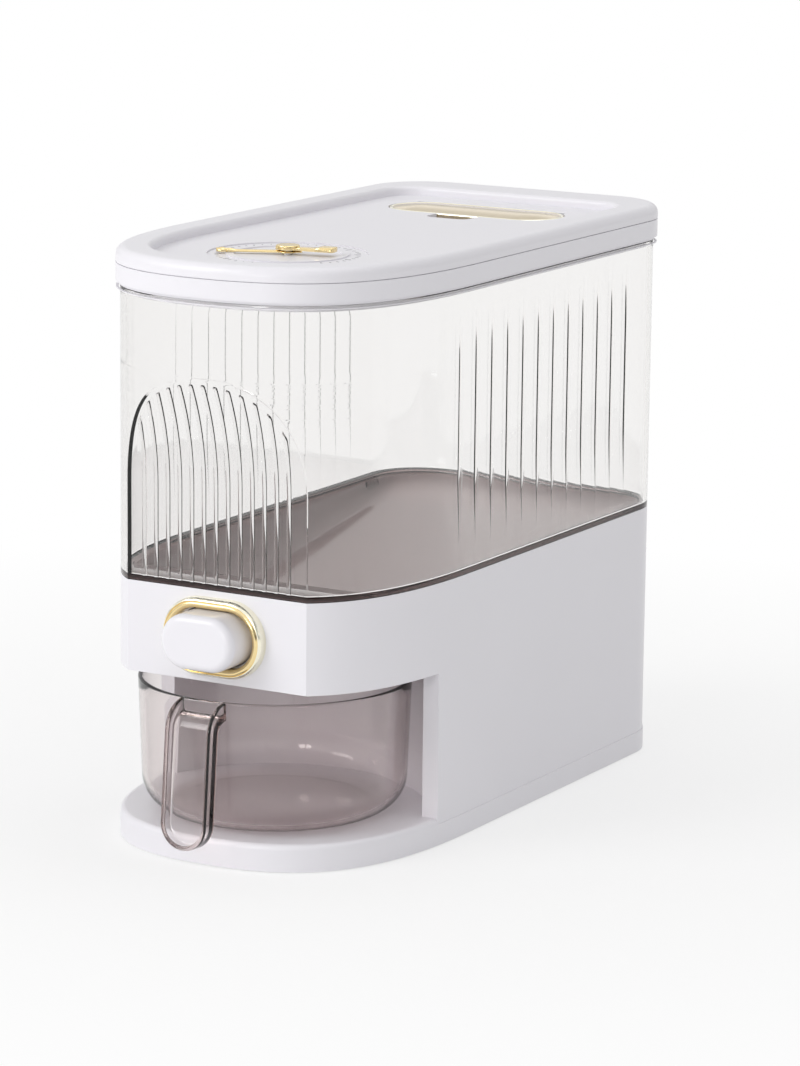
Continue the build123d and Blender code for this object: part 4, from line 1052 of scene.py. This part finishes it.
class DISPENSER_OT_lid_seam(Operator):
    """Make the white bead between the lid's cover and its skirt, and the white gasket under the skirt"""

    bl_idname = "dispenser.lid_seam"
    bl_label = "Lid seam"

    def execute(self, context):
        low = lid_low[2]
        bead = [(0.26, low - 0.4), (0.2, low - 0.2), (0.26, low), (1.4, low), (1.4, low - 0.4)]
        self.lid_ring("lid_seam", bead, "white_plastic")
        foot = corner_mm("lid_skirt", 0)[2]
        ledge = context.scene.dispenser_tank.shoulder + 0.12
        gasket = [(1.5, ledge + 0.2), (1.2, foot - 0.5), (1.2, foot + 0.02), (3.1, foot + 0.02), (3.1, ledge),
                  (1.8, ledge)]
        self.lid_ring("lid_gasket", gasket, "silicone")
        return {"FINISHED"}

    def lid_ring(self, name, profile, slot):
        """White ring round the lid, with a closed profile of (inset from the lid's outline, height)."""
        inset, height = np.array(profile).T
        x, y = half_outline(np.zeros(len(profile)), inset, 110)
        sheet = {"points": np.stack([x, y, height[:, None] + np.zeros_like(x)], -1), "wrap_rows": True}
        build_mesh(name, [sheet, mirrored(sheet)], "white", "lid")


# ------------------------------------------------------------------ carried-over pieces
PLAIN_FINISHES = {
    "white": ["lid_cover", "lid_skirt", "lid_liner", "housing_shell", "bay_liner", "foot_plate", "button_sleeve",
              "push_plate", "gate_plate", "gate_track", "chute", "spring_post", "dial_plate", "dial_ring"],
    "white_gloss": ["button_cap"],
    "gold": ["button_bezel", "hub_cap", "long_pointer", "short_pointer"],
    "champagne": ["lid_bail"],
    "steel": ["lid_screws", "housing_screws", "bail_pins", "dial_pivot", "return_spring"],
    "rubber": ["foot_pads"],
    "silicone": ["lid_seal"],
    "clear": ["tank"],
    "smoke": ["hopper", "measuring_cup"],
}


class DISPENSER_OT_finishes(Operator):
    """Give every carried-over piece its finish"""

    bl_idname = "dispenser.finishes"
    bl_label = "Finishes"

    def execute(self, context):
        for finish_name, nodes in PLAIN_FINISHES.items():
            for node in nodes:
                dress(node, finish_name)
        return {"FINISHED"}


# ------------------------------------------------------------------ stage
class DISPENSER_OT_stage(Operator):
    """Set the camera, the pale floor, the soft lamps and the white surroundings"""

    bl_idname = "dispenser.stage"
    bl_label = "Stage"

    def execute(self, context):
        self.camera(context)
        self.floor()
        self.surroundings(context)
        self.lamp("key_lamp", (-1.5, -2.1, 1.7), 1.6, 29.0)
        self.lamp("top_lamp", (0.3, 0.4, 2.4), 1.4, 6.0)
        self.lamp("front_lamp", (0.1, -1.7, 0.42), 0.34, 3.3)
        context.scene.view_settings.view_transform = "Standard"
        context.scene.cycles.max_bounces = 24
        context.scene.cycles.transmission_bounces = 24
        context.scene.cycles.transparent_max_bounces = 32
        return {"FINISHED"}

    def camera(self, context):
        """The photograph's camera, as worked out from its outlines; the angles are in radians."""
        yaw, pitch, roll = 0.5145968, 0.2091283, 0.0118821
        forward = Vector((-math.sin(yaw) * math.cos(pitch), math.cos(yaw) * math.cos(pitch), -math.sin(pitch)))
        level = Vector((math.cos(yaw), math.sin(yaw), 0))
        above = level.cross(forward)
        right = level * math.cos(roll) + above * math.sin(roll)
        up = above * math.cos(roll) - level * math.sin(roll)
        data = bpy.data.cameras.new("photo_camera")
        data.sensor_width = SENSOR
        data.lens = PHOTO_FOCAL * SENSOR / PHOTO_HEIGHT
        data.shift_x = (PHOTO_WIDTH / 2 - PHOTO_CENTRE[0]) / PHOTO_HEIGHT
        data.shift_y = (PHOTO_CENTRE[1] - PHOTO_HEIGHT / 2) / PHOTO_HEIGHT
        data.clip_start, data.clip_end = 0.05, 50.0
        eye = bpy.data.objects.new("photo_camera", data)
        place = Matrix((right, up, -forward)).transposed().to_4x4()
        place.translation = Vector((1.0418468, -1.7931104, 0.5641467))
        eye.matrix_world = place
        context.scene.collection.objects.link(eye)
        context.scene.camera = eye

    def floor(self):
        mesh = bpy.data.meshes.new("pale_floor")
        mesh.from_pydata([(-9, -9, 0), (9, -9, 0), (9, 9, 0), (-9, 9, 0)], [], [(0, 1, 2, 3)])
        ground = bpy.data.objects.new("pale_floor", mesh)
        bpy.context.scene.collection.objects.link(ground)
        material, finish = new_finish("pale_floor")
        paint = finish.node("ShaderNodeBsdfDiffuse", sockets={"Color": (0.9, 0.9, 0.9, 1)})
        glow = finish.node("ShaderNodeEmission", sockets={"Color": (1, 1, 1, 1), "Strength": 1.0})
        path = finish.node("ShaderNodeLightPath", output="Is Camera Ray")
        gloss = Wire(finish, path.socket.node.outputs["Is Glossy Ray"])
        through = Wire(finish, path.socket.node.outputs["Is Transmission Ray"])
        seen = finish.maths("MINIMUM", path + gloss + through, 1.0)
        away = finish.node("ShaderNodeVectorMath", {"operation": "LENGTH"}, {0: finish.place()}, output="Value")
        clean = finish.ramp(away, [(0.12, 0.62), (0.62, 1.0)])
        finish.close(finish.node("ShaderNodeMixShader", sockets={0: seen * clean, 1: paint, 2: glow}))
        mesh.materials.append(material)

    def surroundings(self, context):
        world = bpy.data.worlds.new("white_surroundings")
        context.scene.world = world
        world.use_nodes = True
        finish = Finish(world.node_tree)
        path = finish.node("ShaderNodeLightPath", output="Is Camera Ray")
        through = Wire(finish, path.socket.node.outputs["Is Transmission Ray"])
        gloss = Wire(finish, path.socket.node.outputs["Is Glossy Ray"]) * (1 - through)
        seen = finish.maths("MINIMUM", path + through, 1.0)
        ambient = 0.62
        strength = ambient + seen * (1 - ambient) + gloss * (self.studio(finish) - ambient)
        glow = finish.node("ShaderNodeBackground", sockets={"Color": (1, 1, 1, 1), "Strength": strength})
        finish.node("ShaderNodeOutputWorld", sockets={"Surface": glow})

    def studio(self, finish):
        """Brightness that reflections find around the product: a bright band behind it, grey above and right."""
        heading = finish.node("ShaderNodeTexCoord", output=0)
        east = finish.node("ShaderNodeSeparateXYZ", sockets={0: heading}, output=0)
        height = Wire(finish, east.socket.node.outputs[2])
        band = finish.ramp(height, [(0.0, 0.75), (0.05, 0.5), (0.15, 0.5), (0.19, 1.0), (0.25, 1.0), (0.32, 0.62),
                                    (0.6, 0.95)])
        flag = finish.ramp(east, [(0.62, 0.0), (0.72, 0.6), (0.8, 0.6), (0.9, 0.0)])
        return finish.maths("MAXIMUM", band * 1.1 - flag, 0.08)

    def lamp(self, name, place, size, power):
        data = bpy.data.lights.new(name, "AREA")
        data.shape = "DISK"
        data.size = size
        data.energy = power
        lamp = bpy.data.objects.new(name, data)
        lamp.location = place
        aim = Vector((0, 0, 0.14)) - Vector(place)
        lamp.rotation_euler = aim.to_track_quat("-Z", "Y").to_euler()
        bpy.context.scene.collection.objects.link(lamp)


STEPS = ["finishes", "tank", "hopper", "cup", "bail", "bezel", "pointers", "spring", "dial_marks", "lid_seam",
         "stage"]


class DISPENSER_PT_panel(Panel):
    """Lists the dispenser's sizes and its making steps"""

    bl_idname = "DISPENSER_PT_panel"
    bl_label = "Rice dispenser"
    bl_space_type = "VIEW_3D"
    bl_region_type = "UI"
    bl_category = "Dispenser"

    def draw(self, context):
        for group in ("plan", "tank", "hopper", "cup", "finishes"):
            box = self.layout.box()
            box.label(text=group.capitalize())
            sizes = getattr(context.scene, "dispenser_" + group)
            for key in sizes.bl_rna.properties.keys():
                if key not in ("rna_type", "name"):
                    box.prop(sizes, key)
        for step in STEPS:
            self.layout.operator("dispenser." + step)


GROUPS = {"plan": PlanSizes, "tank": TankSizes, "hopper": HopperSizes, "cup": CupSizes, "finishes": Finishes}
CLASSES = [*GROUPS.values(), DISPENSER_OT_finishes, DISPENSER_OT_tank, DISPENSER_OT_hopper, DISPENSER_OT_cup,
           DISPENSER_OT_bail, DISPENSER_OT_bezel, DISPENSER_OT_pointers, DISPENSER_OT_spring,
           DISPENSER_OT_dial_marks, DISPENSER_OT_lid_seam, DISPENSER_OT_stage, DISPENSER_PT_panel]


def register():
    for each in CLASSES:
        bpy.utils.register_class(each)
    for key, group in GROUPS.items():
        setattr(bpy.types.Scene, "dispenser_" + key, PointerProperty(type=group))


def unregister():
    for key in GROUPS:
        delattr(bpy.types.Scene, "dispenser_" + key)
    for each in reversed(CLASSES):
        bpy.utils.unregister_class(each)


def main():
    register()
    for step in STEPS:
        if getattr(bpy.ops.dispenser, step)() != {"FINISHED"}:
            raise RuntimeError(step + " did not finish")


if __name__ == "__main__":
    main()
